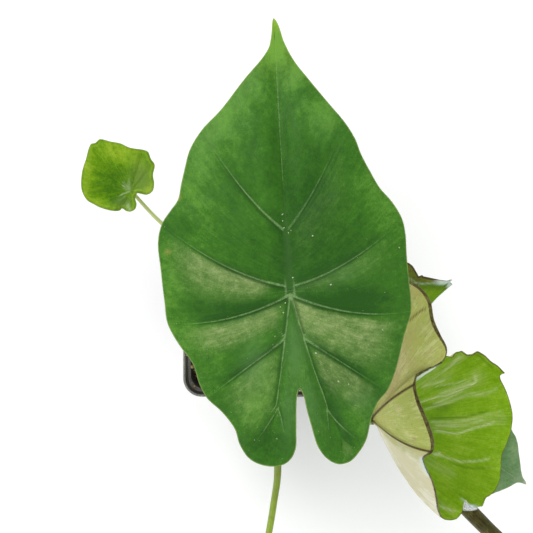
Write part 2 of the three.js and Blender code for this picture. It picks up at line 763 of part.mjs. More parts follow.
function piece(name, geometry, finish) {
  const mesh = new THREE.Mesh(geometry, new THREE.MeshStandardMaterial(finish));
  mesh.name = name;
  return mesh;
}

function placeBlade(mesh, { at, heading = 90, hang = 0 }) {
  mesh.position.set(...at);
  mesh.rotation.order = 'ZXY';
  mesh.rotation.set(THREE.MathUtils.degToRad(-hang), 0, THREE.MathUtils.degToRad(heading - 90));
  return mesh;
}

const plant = new THREE.Group();
plant.add(piece('pot', pot(), POT_BLACK));
plant.add(piece('soil', soil(), SOIL_BROWN));
plant.add(piece('stem', loft(stemLoops(0)), STEM_GREEN));

const leaves = [
  ['leaf_main', shieldBlade(MAIN_LEAF), MAIN_LEAF, LEAF_GREEN, MAIN_STALK, STALK_GREEN],
  ['leaf_cup', cupBlade(), CUP_LEAF, LEAF_LIME, CUP_STALK, STALK_GREEN],
  ['leaf_right', shieldBlade(RIGHT_LEAF), RIGHT_LEAF, LEAF_GREEN, RIGHT_STALK, STALK_DARK],
  ['leaf_hanging', shieldBlade(HANGING_LEAF), HANGING_LEAF, LEAF_GREY_GREEN, HANGING_STALK, STALK_GREEN],
  ['leaf_front', shieldBlade(FRONT_LEAF), FRONT_LEAF, LEAF_GREEN, FRONT_STALK, STALK_GREEN],
  ['leaf_young', youngBlade(), YOUNG_LEAF, LEAF_YOUNG, YOUNG_STALK, STALK_PALE],
];
const taken = [toManifold(loft(stemLoops(GAP)))];
for (const [name, geometry, leaf, bladeFinish, shape, stalkFinish] of leaves) {
  const blade = placeBlade(piece(`${name}_blade`, geometry, bladeFinish), leaf);
  plant.add(blade);
  plant.add(piece(`${name}_petiole`, stalk(blade, shape, taken), stalkFinish));
}

export default plant;
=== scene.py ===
"""Potted calidora alocasia: the dressed plant over its CAD frame, with a plain studio round it.

Sizes are in millimetres while a piece is worked out and become metres when its mesh is made. The frame is
the CAD's: the origin is the centre of the pot's underside, +Z is up and +Y is the way the main leaf points.
"""
import logging
import math
from dataclasses import dataclass, field, replace
from enum import Enum
from typing import Callable, Iterable, Sequence

import bmesh
import bpy
import numpy as np
from mathutils import Matrix, Vector


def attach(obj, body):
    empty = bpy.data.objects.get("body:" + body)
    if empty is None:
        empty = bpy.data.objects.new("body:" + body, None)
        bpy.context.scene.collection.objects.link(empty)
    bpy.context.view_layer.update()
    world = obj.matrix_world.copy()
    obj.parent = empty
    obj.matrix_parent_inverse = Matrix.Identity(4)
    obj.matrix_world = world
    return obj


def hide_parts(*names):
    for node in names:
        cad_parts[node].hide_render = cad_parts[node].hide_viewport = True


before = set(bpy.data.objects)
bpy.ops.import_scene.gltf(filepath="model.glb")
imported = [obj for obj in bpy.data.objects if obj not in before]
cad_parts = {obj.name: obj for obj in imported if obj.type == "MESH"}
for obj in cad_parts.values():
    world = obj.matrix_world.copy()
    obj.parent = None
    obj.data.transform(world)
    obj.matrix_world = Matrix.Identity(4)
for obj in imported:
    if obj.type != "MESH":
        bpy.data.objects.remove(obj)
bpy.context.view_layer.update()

LOG = logging.getLogger("alocasia")
MM = 0.001
BODY = "root"
RGBA = tuple[float, float, float, float]
Triple = tuple[float, float, float]
Array = np.ndarray
Piece = bpy.types.Object
Skin = bpy.types.Material
Number = "Value | float"


def linear(red: int, green: int, blue: int) -> RGBA:
    """Turns a given colour into the linear one that shaders take, by the usual screen curve.

    Args:
        red: red channel, 0 to 255.
        green: green channel, 0 to 255.
        blue: blue channel, 0 to 255.

    Returns:
        The linear colour with full alpha.
    """
    shares = (channel / 255 for channel in (red, green, blue))
    return (*((share / 12.92 if share <= 0.04045 else ((share + 0.055) / 1.055) ** 2.4) for share in shares), 1.0)


# ---- Nodes written as expressions ----


class Value:
    """A number, vector or colour on a node's output, with arithmetic for numbers."""

    def __init__(self, sheet: "Sheet", socket: bpy.types.NodeSocket) -> None:
        """Keeps the sheet that the node stands on, and the node's output."""
        self.sheet = sheet
        self.socket = socket

    def __add__(self, other: Number) -> "Value":
        """self + other."""
        return self.sheet.maths("ADD", self, other)

    def __radd__(self, other: Number) -> "Value":
        """other + self."""
        return self.sheet.maths("ADD", other, self)

    def __sub__(self, other: Number) -> "Value":
        """self - other."""
        return self.sheet.maths("SUBTRACT", self, other)

    def __rsub__(self, other: Number) -> "Value":
        """other - self."""
        return self.sheet.maths("SUBTRACT", other, self)

    def __mul__(self, other: Number) -> "Value":
        """self * other."""
        return self.sheet.maths("MULTIPLY", self, other)

    def __rmul__(self, other: Number) -> "Value":
        """other * self."""
        return self.sheet.maths("MULTIPLY", other, self)

    def __pow__(self, other: Number) -> "Value":
        """self to the power of other."""
        return self.sheet.maths("POWER", self, other)


class Cells(str, Enum):
    """What a pattern of cells measures."""

    TO_CENTRE = "F1"
    TO_EDGE = "DISTANCE_TO_EDGE"


class Sheet:
    """A node tree that values and nodes are written on."""

    def __init__(self, tree: bpy.types.NodeTree) -> None:
        """Keeps the node tree."""
        self.tree = tree

    def node(self, kind: str, settings: dict | None = None, inputs: dict | None = None) -> bpy.types.Node:
        """Adds one node.

        Args:
            kind: the node's type name.
            settings: properties, set before the inputs are filled.
            inputs: values or links by input name or number.

        Returns:
            The new node.
        """
        made = self.tree.nodes.new(kind)
        for key, setting in (settings or {}).items():
            setattr(made, key, setting)
        for key, given in (inputs or {}).items():
            self.fill(made.inputs[key], given)
        return made

    def fill(self, socket: bpy.types.NodeSocket, given: object) -> None:
        """Links a value to an input, or sets the input to a constant.

        Args:
            socket: the input.
            given: a value, another node's output or a constant.
        """
        if isinstance(given, Value):
            self.tree.links.new(given.socket, socket)
        elif isinstance(given, bpy.types.NodeSocket):
            self.tree.links.new(given, socket)
        else:
            socket.default_value = given

    def value(self, node: bpy.types.Node, output: int | str = 0) -> Value:
        """Wraps one output of a node."""
        return Value(self, node.outputs[output])

    def maths(self, operation: str, first: Number, second: Number = 0.0, clamp: bool = False) -> Value:
        """Adds one Math node.

        Args:
            operation: the node's operation.
            first: its first number.
            second: its second number.
            clamp: keeps the result from 0 to 1.

        Returns:
            The result.
        """
        made = self.node("ShaderNodeMath", {"operation": operation, "use_clamp": clamp}, {0: first, 1: second})
        return self.value(made)

    def smooth(self, given: Value, low: float, high: float) -> Value:
        """Eases from 0 at low to 1 at high. Where high is the smaller, it eases down.

        Args:
            given: the number to ease.
            low: where the result is 0.
            high: where the result is 1.

        Returns:
            A number from 0 to 1.
        """
        rising = low < high
        limits = {1: min(low, high), 2: max(low, high), 3: 0.0 if rising else 1.0, 4: 1.0 if rising else 0.0}
        made = self.node("ShaderNodeMapRange", {"interpolation_type": "SMOOTHSTEP"}, {0: given, **limits})
        return self.value(made)

    def noise(self, vector: Value, scale: float, detail: float = 2.0, rough: float = 0.5, warp: float = 0.0) -> Value:
        """Adds soft noise about 0.5.

        Args:
            vector: where it is read.
            scale: spots per unit of vector.
            detail: octaves.
            rough: weight of the finer octaves.
            warp: distortion.

        Returns:
            The noise, about 0.25 to 0.75.
        """
        inputs = {"Vector": vector, "Scale": scale, "Detail": detail, "Roughness": rough, "Distortion": warp}
        return self.value(self.node("ShaderNodeTexNoise", None, inputs))

    def vector(self, x: Number, y: Number, z: Number = 0.0) -> Value:
        """Puts three numbers together."""
        return self.value(self.node("ShaderNodeCombineXYZ", None, {0: x, 1: y, 2: z}))


class Paint(Sheet):
    """A material's nodes."""

    def __init__(self, name: str) -> None:
        """Starts a material with only an output node."""
        self.material = bpy.data.materials.new(name)
        self.material.use_nodes = True
        super().__init__(self.material.node_tree)
        self.tree.nodes.clear()

    def place(self) -> Value:
        """The point's place in millimetres."""
        coordinates = self.node("ShaderNodeTexCoord").outputs["Object"]
        made = self.node("ShaderNodeVectorMath", {"operation": "SCALE"}, {0: coordinates, "Scale": 1 / MM})
        return self.value(made)

    def stretched(self, x: float, y: float, z: float) -> Value:
        """The point's place in millimetres, times one factor an axis."""
        made = self.node("ShaderNodeVectorMath", {"operation": "MULTIPLY"}, {0: self.place(), 1: (x, y, z)})
        return self.value(made)

    def spots(self, scale: float, detail: float = 4.0, rough: float = 0.7) -> Value:
        """Noise about 0.5 over the piece, with scale spots a millimetre."""
        return self.noise(self.place(), scale, detail, rough)

    def soft(self, scale: float, detail: float = 4.0, rough: float = 0.6) -> Value:
        """The same noise, but about 0."""
        return self.spots(scale, detail, rough) - 0.5

    def strands(self, across: float, along: float, detail: float = 3.0, rough: float = 0.65) -> Value:
        """Noise about 0 that is drawn out along a blade's rows.

        Args:
            across: spots from one margin point's row to the next one's.
            along: spots from rib to margin.
            detail: octaves.
            rough: weight of the finer octaves.

        Returns:
            The noise.
        """
        rows = self.vector(self.stored(Stored.ROW) * across, self.stored(Stored.OUT) * along)
        return self.noise(rows, 1.0, detail, rough) - 0.5

    def cells(self, scale: float, measure: Cells) -> Value:
        """Distance within a pattern of cells, in cells, with scale cells a millimetre."""
        made = self.node("ShaderNodeTexVoronoi", {"feature": measure.value}, {"Vector": self.place(), "Scale": scale})
        return self.value(made, "Distance")

    def stored(self, name: str) -> Value:
        """A number stored on the mesh's points."""
        settings = {"attribute_type": "GEOMETRY", "attribute_name": name}
        return self.value(self.node("ShaderNodeAttribute", settings), "Fac")

    def mix(self, first: Value | RGBA, second: Value | RGBA, share: Number) -> Value:
        """Mixes two colours.

        Args:
            first: the colour at share 0 and below.
            second: the colour at share 1 and above.
            share: how much of the second.

        Returns:
            The mixed colour.
        """
        settings = {"data_type": "RGBA", "clamp_factor": True}
        return self.value(self.node("ShaderNodeMix", settings, {0: share, 6: first, 7: second}), 2)

    def ramp(self, low: Value | RGBA, middle: Value | RGBA, high: Value | RGBA, tone: Value) -> Value:
        """Runs through three colours.

        Args:
            low: the colour at tone 0.
            middle: the colour at tone 0.5.
            high: the colour at tone 1.
            tone: the tone.

        Returns:
            The colour.
        """
        first = self.maths("MULTIPLY", tone, 2.0, clamp=True)
        second = self.maths("SUBTRACT", tone * 2.0, 1.0, clamp=True)
        return self.mix(self.mix(low, middle, first), high, second)

    def finish(self, colour: Value | RGBA, roughness: Number, height: Value | None = None, depth: float = 0.2,
               gloss: float = 0.5) -> Skin:
        """Closes the material with its surface.

        Args:
            colour: base colour.
            roughness: roughness.
            height: relief from 0 to 1, or None for a plain surface.
            depth: how deep the relief is, in millimetres.
            gloss: how strongly the surface mirrors, 0.5 for plastic.

        Returns:
            The material.
        """
        inputs: dict[str, object] = {"Base Color": colour, "Roughness": roughness, "Specular IOR Level": gloss}
        if height is not None:
            bump = self.node("ShaderNodeBump", None, {"Strength": 1.0, "Distance": depth * MM, "Height": height})
            inputs["Normal"] = bump.outputs[0]
        surface = self.node("ShaderNodeBsdfPrincipled", None, inputs)
        self.node("ShaderNodeOutputMaterial", None, {"Surface": surface.outputs[0]})
        return self.material


class Coat:
    """A colour that others are laid over, one after another."""

    def __init__(self, paint: Paint, colour: Value | RGBA) -> None:
        """Starts with the lowest colour."""
        self.paint = paint
        self.colour = colour

    def lay(self, colour: Value | RGBA, share: Number) -> None:
        """Lays a colour over what is there, wholly where share is 1."""
        self.colour = self.paint.mix(self.colour, colour, share)


def worked_out(thing: Piece) -> bpy.types.Mesh:
    """Runs an object's modifiers.

    Args:
        thing: the object.

    Returns:
        A copy of the mesh that they give.
    """
    graph = bpy.context.evaluated_depsgraph_get()
    graph.update()
    return bpy.data.meshes.new_from_object(thing.evaluated_get(graph), depsgraph=graph)


class Growth(Sheet):
    """A Geometry Nodes tree that grows one piece."""

    def __init__(self, name: str, sizes: dict[str, tuple[str, object]]) -> None:
        """Starts a tree with named inputs.

        Args:
            name: the tree's name.
            sizes: each input's kind of socket and default value, by its name.
        """
        super().__init__(bpy.data.node_groups.new(name, "GeometryNodeTree"))
        face = self.tree.interface
        face.new_socket("Geometry", in_out="INPUT", socket_type="NodeSocketGeometry")
        for key, (kind, default) in sizes.items():
            socket = face.new_socket(key, in_out="INPUT", socket_type=f"NodeSocket{kind}")
            if default is not None:
                socket.default_value = default
        face.new_socket("Geometry", in_out="OUTPUT", socket_type="NodeSocketGeometry")
        self.given = self.tree.nodes.new("NodeGroupInput")

    def size(self, name: str) -> Value:
        """One of the tree's named inputs."""
        return self.value(self.given, name)

    def grow(self, seedling: Piece, geometry: bpy.types.NodeSocket, values: dict[str, object],
             name: str) -> Piece:
        """Ends the tree, runs it once on an object and keeps the result as a plain mesh.

        Args:
            seedling: the object that the tree starts from. It is removed.
            geometry: the socket that holds the finished shape.
            values: values for the tree's inputs, by name.
            name: the new object's name.

        Returns:
            The grown object.
        """
        whole = self.node("GeometryNodeRealizeInstances", None, {"Geometry": geometry})
        skin = self.node("GeometryNodeSetMaterial", None,
                         {"Geometry": whole.outputs[0], "Material": self.size("Skin")})
        self.node("NodeGroupOutput", None, {0: skin.outputs[0]})
        modifier = seedling.modifiers.new(name, "NODES")
        modifier.node_group = self.tree
        for item in self.tree.interface.items_tree:
            if item.in_out == "INPUT" and item.name in values:
                modifier[item.identifier] = values[item.name]
        seedling.update_tag()
        mesh = worked_out(seedling)
        mesh.name = name
        grown = bpy.data.objects.new(name, mesh)
        bpy.context.collection.objects.link(grown)
        bpy.data.objects.remove(seedling)
        return grown


# ---- Finishes ----


class Stored(str, Enum):
    """Names of the numbers kept on the points of leaves, stalks and stem."""

    ROW = "row"
    OUT = "out"
    TONE = "tone"
    VEIN_GAP = "vein_gap"
    VEIN_SHOW = "vein_show"
    BAND = "band"
    BAND_EDGE = "band_edge"
    BAND_SHOW = "band_show"
    TIP = "tip"
    LIP = "lip"
    EDGE_GAP = "edge_gap"
    UNDERSIDE = "underside"
    BLOOM = "painted_sheen"
    GREY_AND_SHEEN = "grey"
    STREAK = "streak"
    SMEAR = "smear"
    SHADE = "shade"
    MARK = "mark"
    TAN = "tan"
    SHADED_TIP = "olive"
    CREAM = "cream"
    BROWN = "brown"
    GLINT_AND_PALE = "glint_and_pale"
    ALONG = "along"
    AROUND = "around"


@dataclass(frozen=True)
class ShieldLeafFinish:
    """A satin shield-shaped blade: fine pale veins with painted shade in a dark line below each, and painted sheen in
    soft panels.
    """

    name: str
    deep: RGBA = linear(29, 76, 8)
    fresh: RGBA = linear(50, 101, 16)
    pale: RGBA = linear(86, 136, 42)
    vein: RGBA = linear(118, 148, 94)
    band: RGBA = linear(46, 86, 30)
    # The groove colour is painted shade along the lower side of each vein.
    groove: RGBA = linear(20, 58, 8)
    edge: RGBA = linear(148, 166, 92)
    # The next two colours are painted sheen between the veins and its painted highlights.
    painted_sheen: RGBA = linear(118, 140, 80)
    fleck: RGBA = linear(146, 158, 110)
    # Greyer tone of some patches, partly painted sheen.
    grey: RGBA = linear(70, 110, 55)
    tip: RGBA = linear(126, 164, 40)
    spot: RGBA = linear(150, 144, 70)
    under: RGBA = linear(104, 134, 74)
    under_vein: RGBA = linear(150, 166, 104)
    roughness: float = 0.42
    depth: float = 0.24
    gloss: float = 0.15

    def build(self) -> Skin:
        """Writes the material's nodes.

        Returns:
            The material.
        """
        paint = Paint(self.name)
        gap, show = paint.stored(Stored.VEIN_GAP), paint.stored(Stored.VEIN_SHOW)
        band, edge_gap = paint.stored(Stored.BAND), paint.stored(Stored.EDGE_GAP)
        below, painted_sheen = paint.stored(Stored.UNDERSIDE), paint.stored(Stored.BLOOM)
        cloud = paint.soft(0.06)
        blot = paint.soft(0.19)
        mottle = paint.soft(0.5, 4.0, 0.65)
        fine = paint.soft(1.7, 3.0, 0.6)
        brush = paint.strands(2.2, 5.0, 4.0)
        bristle = paint.strands(8.0, 9.0, 4.0)
        grain = paint.cells(1.3, Cells.TO_EDGE)
        away = paint.maths("ABSOLUTE", gap)

        tone = paint.stored(Stored.TONE) + cloud * 0.45 + blot * 0.4 + mottle * 0.65 + fine * 0.6
        # Painted shade on both sides of each vein.
        tone = tone - paint.smooth(away, 8.0, 1.0) * show * 0.14
        coat = Coat(paint, paint.ramp(self.deep, self.fresh, self.pale, tone + brush * 0.7 + bristle * 0.35))
        # Greyer patches, partly painted sheen.
        grey = paint.stored(Stored.GREY_AND_SHEEN) * (0.9 + blot * 0.7 + mottle * 0.5 + bristle * 0.7)
        coat.lay(self.grey, grey)
        # Painted sheen between the veins, with painted highlight flecks on it.
        painted_sheen_share = painted_sheen * (0.76 + blot * 1.1 + mottle * 1.1 + fine * 0.8 + brush * 1.2 + bristle * 1.0)
        coat.lay(self.painted_sheen, painted_sheen_share)
        painted_highlight = paint.smooth(bristle * 0.9 + mottle * 0.9 + fine * 0.6 + blot * 0.8 + brush * 0.4, 0.03, 0.34)
        coat.lay(self.fleck, painted_highlight * painted_sheen * 0.5)
        middle = paint.stored(Stored.BAND_SHOW)
        coat.lay(self.band, paint.smooth(band, 1.6, 0.4) * middle * (0.7 + mottle))
        thread = paint.smooth(band, 1.1, 0.4) * (1.0 - middle) * paint.stored(Stored.BAND_EDGE)
        coat.lay(self.vein, thread * (0.4 + fine * 2.0 + mottle))
        lip = paint.smooth(band, 0.6, 1.0) * paint.smooth(band, 1.5, 1.05) * middle
        coat.lay(self.vein, lip * paint.stored(Stored.BAND_EDGE) * (0.5 + fine * 1.8))
        # Painted shade: a dark line along the lower side of each vein.
        dark = paint.smooth(gap, 0.5, 1.1) * paint.smooth(gap, 3.4, 1.3) * show
        coat.lay(self.groove, dark * 0.6)
        line = paint.smooth(away, 1.0, 0.3) * show * (0.72 + mottle * 1.6 + fine * 2.0)
        coat.lay(self.vein, line)
        coat.lay(self.tip, paint.stored(Stored.TIP) * (0.8 + mottle))
        coat.lay(self.spot, paint.stored(Stored.MARK) * (0.9 + fine * 2.0))
        coat.lay(self.edge, paint.smooth(edge_gap, 0.55, 0.15) * (0.5 + mottle))

        dull = Coat(paint, self.under)
        dull.lay(self.fresh, paint.smooth(cloud + mottle * 0.5, -0.1, 0.3) * 0.35)
        net = paint.smooth(paint.cells(0.35, Cells.TO_EDGE), 0.09, 0.02)
        dull.lay(self.under_vein, net * 0.3)
        dull.lay(self.under_vein, paint.smooth(away, 2.4, 0.9) * show)
        dull.lay(self.under_vein, paint.smooth(band, 1.2, 0.7))
        coat.lay(dull.colour, below)

        relief = brush * 0.2 + bristle * 0.3 + mottle * 0.35 + fine * 0.4 + paint.smooth(grain, 0.0, 0.2) * 0.2
        roughness = self.roughness + mottle * 0.3 + below * 0.2 + grain * 0.06
        return paint.finish(coat.colour, roughness, relief, self.depth, self.gloss)


@dataclass(frozen=True)
class CupLeafFinish:
    """A cupped blade: lime inside with pale streaks, painted glints and painted shade; olive and cream outside; brown
    ribs and rim; painted highlights.
    """

    name: str = "cupped_leaf"
    lime: RGBA = linear(122, 164, 8)
    lime_deep: RGBA = linear(98, 142, 6)
    lime_pale: RGBA = linear(156, 184, 62)
    shadow: RGBA = linear(64, 94, 12)
    # Pale colour of the creases, also laid as painted glints.
    streak: RGBA = linear(196, 208, 146)
    smear: RGBA = linear(158, 176, 98)
    olive: RGBA = linear(174, 176, 96)
    tan: RGBA = linear(176, 158, 116)
    green_olive: RGBA = linear(164, 174, 90)
    straw: RGBA = linear(204, 208, 142)
    cream: RGBA = linear(204, 198, 166)
    white: RGBA = linear(222, 220, 202)
    # Dark olive: painted shade on the curled tip past its crease, and the olive-brown rim.
    olive_shade_and_rim: RGBA = linear(94, 92, 36)
    brown: RGBA = linear(64, 46, 24)
    mark: RGBA = linear(104, 88, 34)
    # Bluish white for painted highlights, and for the pale tip and notch.
    pale_and_glint_colour: RGBA = linear(200, 214, 206)
    roughness: float = 0.46
    depth: float = 0.22
    gloss: float = 0.1

    def build(self) -> Skin:
        """Writes the material's nodes.

        Returns:
            The material.
        """
        paint = Paint(self.name)
        gap, show = paint.stored(Stored.VEIN_GAP), paint.stored(Stored.VEIN_SHOW)
        edge_gap, below = paint.stored(Stored.EDGE_GAP), paint.stored(Stored.UNDERSIDE)
        cream, olive_shade_and_rim = paint.stored(Stored.CREAM), paint.stored(Stored.SHADED_TIP)
        brown, glint_and_pale = paint.stored(Stored.BROWN), paint.stored(Stored.GLINT_AND_PALE)
        brush = paint.strands(3.2, 3.5)
        fibre = paint.strands(14.0, 5.0, 3.0, 0.6)
        cloud = paint.soft(0.08)
        mottle = paint.soft(0.5, 4.0, 0.65)
        fine = paint.soft(1.7, 3.0, 0.6)
        hair = paint.strands(26.0, 6.0, 2.0, 0.6)
        grain = paint.cells(1.4, Cells.TO_EDGE)
        away = paint.maths("ABSOLUTE", gap)

        tone = paint.stored(Stored.TONE) + cloud * 0.8 + brush * 0.7 + mottle * 0.8 + fine * 0.8 + fibre * 0.7
        inside = Coat(paint, paint.ramp(self.lime_deep, self.lime, self.lime_pale, tone))
        smear = paint.stored(Stored.SMEAR) * (0.75 + fibre * 2.4 + brush * 1.2 + fine * 0.8)
        inside.lay(self.smear, smear)
        strand = paint.smooth(hair + fibre * 0.6 + brush * 0.5, 0.08, 0.3)
        inside.lay(self.streak, strand * (paint.stored(Stored.SMEAR) * 0.75 + 0.1))
        inside.lay(self.shadow, paint.stored(Stored.SHADE) * (0.8 + mottle))
        # Pale creases with painted glints and highlights.
        stroke = paint.stored(Stored.STREAK) * (0.85 + fibre * 3.2 + fine * 1.2)
        inside.lay(self.streak, stroke)
        inside.lay(self.streak, paint.smooth(away, 0.7, 0.2) * show * (1.0 - below) * 0.2)
        # Painted shade: the curled tip past its crease laid in dark olive.
        inside.lay(self.olive_shade_and_rim, olive_shade_and_rim * (0.9 + mottle * 1.6))

        outside = Coat(paint, self.olive)
        outside.lay(self.green_olive, paint.smooth(tone, 0.35, 0.75))
        outside.lay(self.tan, paint.stored(Stored.TAN) * (0.85 + brush * 1.2 + mottle * 0.8))
        stain = paint.smooth(cloud * 1.2 + mottle * 0.9 + fine * 0.4, 0.05, 0.28)
        outside.lay(self.tan, stain * 0.5)
        pale = paint.smooth(fibre + brush * 0.9 + fine * 0.6 + cloud * 0.8, -0.02, 0.26)
        outside.lay(self.straw, pale * 0.6)
        outside.lay(self.mark, paint.smooth(hair + mottle * 1.2 + fine * 0.8, 0.08, 0.36) * 0.34)
        pale = cream * (0.9 + fibre * 0.8 + mottle * 0.6)
        outside.lay(self.cream, pale)
        soft = paint.smooth(brush * 0.8 + fibre * 0.4 + cloud * 1.6, -0.1, 0.3) * cream * 0.8
        outside.lay(self.white, soft)
        outside.lay(self.mark, paint.stored(Stored.MARK) * 0.9)
        outside.lay(self.mark, paint.smooth(away + mottle, 1.3, 0.5) * show * 0.35)
        rib = paint.smooth(away + mottle * 0.5, 0.78, 0.32) * show * (0.85 + mottle * 0.8)
        outside.lay(self.brown, rib)
        coat = Coat(paint, inside.colour)
        coat.lay(outside.colour, below)
        # Painted highlights on the crease, along the lower rim and just inside the near rim, with the pale tip and
        # notch.
        shine = glint_and_pale + paint.stored(Stored.BLOOM) * (1.0 - below)
        coat.lay(self.pale_and_glint_colour, shine * (0.85 + fibre * 1.6))
        ragged = edge_gap + mottle * 0.9 + fine * 0.5 - brown
        rim = paint.mix(self.olive_shade_and_rim, self.brown, paint.maths("MAXIMUM", below, olive_shade_and_rim))
        coat.lay(rim, paint.smooth(ragged, 0.28, -0.12) * (0.88 + mottle))

        relief = brush * 0.3 + fibre * 0.3 + fine * 0.3 + paint.smooth(grain, 0.0, 0.2) * 0.15
        roughness = self.roughness + mottle * 0.3 - glint_and_pale * 0.15 + grain * 0.06
        return paint.finish(coat.colour, roughness, relief, self.depth, self.gloss)


@dataclass(frozen=True)
class YoungLeafFinish:
    """A soft lime blade with painted shade in rays along its folds and a painted grey sheen."""

    name: str = "young_leaf"
    lime: RGBA = linear(98, 140, 8)
    dark: RGBA = linear(58, 102, 4)
    pale: RGBA = linear(140, 168, 40)
    vein: RGBA = linear(150, 168, 122)
    # Painted grey sheen colour.
    painted_sheen: RGBA = linear(100, 126, 54)
    edge: RGBA = linear(112, 128, 40)
    under: RGBA = linear(124, 152, 64)
    roughness: float = 0.46
    depth: float = 0.18
    gloss: float = 0.1

    def build(self) -> Skin:
        """Writes the material's nodes.

        Returns:
            The material.
        """
        paint = Paint(self.name)
        edge_gap, below = paint.stored(Stored.EDGE_GAP), paint.stored(Stored.UNDERSIDE)
        cloud = paint.soft(0.16)
        mottle = paint.soft(0.7, 4.0, 0.65)
        fine = paint.soft(1.9, 3.0, 0.6)
        ray = paint.strands(1.7, 2.5, 4.0)
        grain = paint.cells(1.7, Cells.TO_EDGE)
        tone = paint.stored(Stored.TONE) + cloud * 0.8 + mottle * 0.8 + fine * 0.7 + ray * 1.0
        coat = Coat(paint, paint.ramp(self.dark, self.lime, self.pale, tone))
        # Painted shade along the folds, then a painted grey sheen.
        coat.lay(self.dark, paint.stored(Stored.SHADE) * (0.7 + mottle))
        coat.lay(self.painted_sheen, paint.stored(Stored.BLOOM) * (0.85 + ray))
        pale = paint.stored(Stored.STREAK) * (0.8 + mottle * 2.0)
        coat.lay(self.vein, pale)
        rim = paint.smooth(edge_gap, 0.9, 1.3) * paint.smooth(edge_gap, 2.4, 1.4)
        coat.lay(self.pale, rim * (0.35 + mottle * 1.5))
        coat.lay(self.edge, paint.smooth(edge_gap, 0.6, 0.2) * (0.7 + mottle))
        coat.lay(self.under, below * 0.85)
        relief = ray * 0.5 + mottle * 0.4 + paint.smooth(grain, 0.0, 0.2) * 0.2
        roughness = self.roughness + mottle * 0.3 + below * 0.1
        return paint.finish(coat.colour, roughness, relief, self.depth, self.gloss)


@dataclass(frozen=True)
class StalkFinish:
    """A smooth stalk that changes colour from its foot to its top, with fine lengthwise lines."""

    name: str
    foot: RGBA
    middle: RGBA
    top: RGBA
    line: RGBA
    mark: RGBA = linear(70, 62, 36)
    marks: float = 0.15
    lines: float = 0.55
    rough: float = 0.0
    gloss: float = 0.35
    roughness: float = 0.44
    depth: float = 0.14

    def build(self) -> Skin:
        """Writes the material's nodes.

        Returns:
            The material.
        """
        paint = Paint(self.name)
        along, around = paint.stored(Stored.ALONG), paint.stored(Stored.AROUND)
        line = paint.noise(paint.vector(around * 34.0, along * 5.0), 1.0, 3.0, 0.6)
        cloud = paint.spots(0.14, 3.0, 0.6)
        reach = along + (cloud - 0.5) * 0.15
        coat = Coat(paint, self.foot)
        coat.lay(self.middle, paint.smooth(reach, 0.02, 0.4))
        coat.lay(self.top, paint.smooth(reach, 0.45, 0.95))
        coat.lay(self.line, paint.smooth(line, 0.5, 0.68) * self.lines)
        mottle = paint.noise(paint.vector(around * 16.0, along * 60.0), 1.0, 4.0, 0.7)
        coat.lay(self.mark, paint.smooth(mottle, 0.5, 0.62) * self.marks)
        coat.lay(self.line, paint.smooth(mottle, 0.44, 0.34) * self.rough)
        relief = line * 0.5 + paint.spots(1.6, 2.0, 0.5) * 0.2 + mottle * (0.2 + self.rough)
        roughness = self.roughness + (cloud - 0.5) * 0.25
        return paint.finish(coat.colour, roughness, relief, self.depth, self.gloss)


@dataclass(frozen=True)
class StemFinish:
    """The short stem: green-brown skin with ring scars and dry brown sheaths low down."""

    name: str = "stem_skin"
    skin: RGBA = linear(120, 132, 62)
    dry: RGBA = linear(104, 78, 46)
    scar: RGBA = linear(66, 50, 30)
    roughness: float = 0.6
    depth: float = 0.4

    def build(self) -> Skin:
        """Writes the material's nodes.

        Returns:
            The material.
        """
        paint = Paint(self.name)
        ring = paint.noise(paint.stretched(0.05, 0.05, 0.5), 1.0, 3.0, 0.6, 0.4)
        fibre = paint.noise(paint.stretched(0.9, 0.9, 0.06), 1.0, 3.0, 0.6)
        along = paint.stored(Stored.ALONG)
        coat = Coat(paint, self.dry)
        coat.lay(self.skin, paint.smooth(along + (ring - 0.5) * 0.3, 0.5, 0.72))
        coat.lay(self.scar, paint.smooth(ring, 0.56, 0.64) * 0.6)
        coat.lay(self.scar, paint.smooth(fibre, 0.55, 0.7) * 0.4)
        roughness = self.roughness + (fibre - 0.5) * 0.3
        return paint.finish(coat.colour, roughness, fibre * 0.6 + ring * 0.4, self.depth)


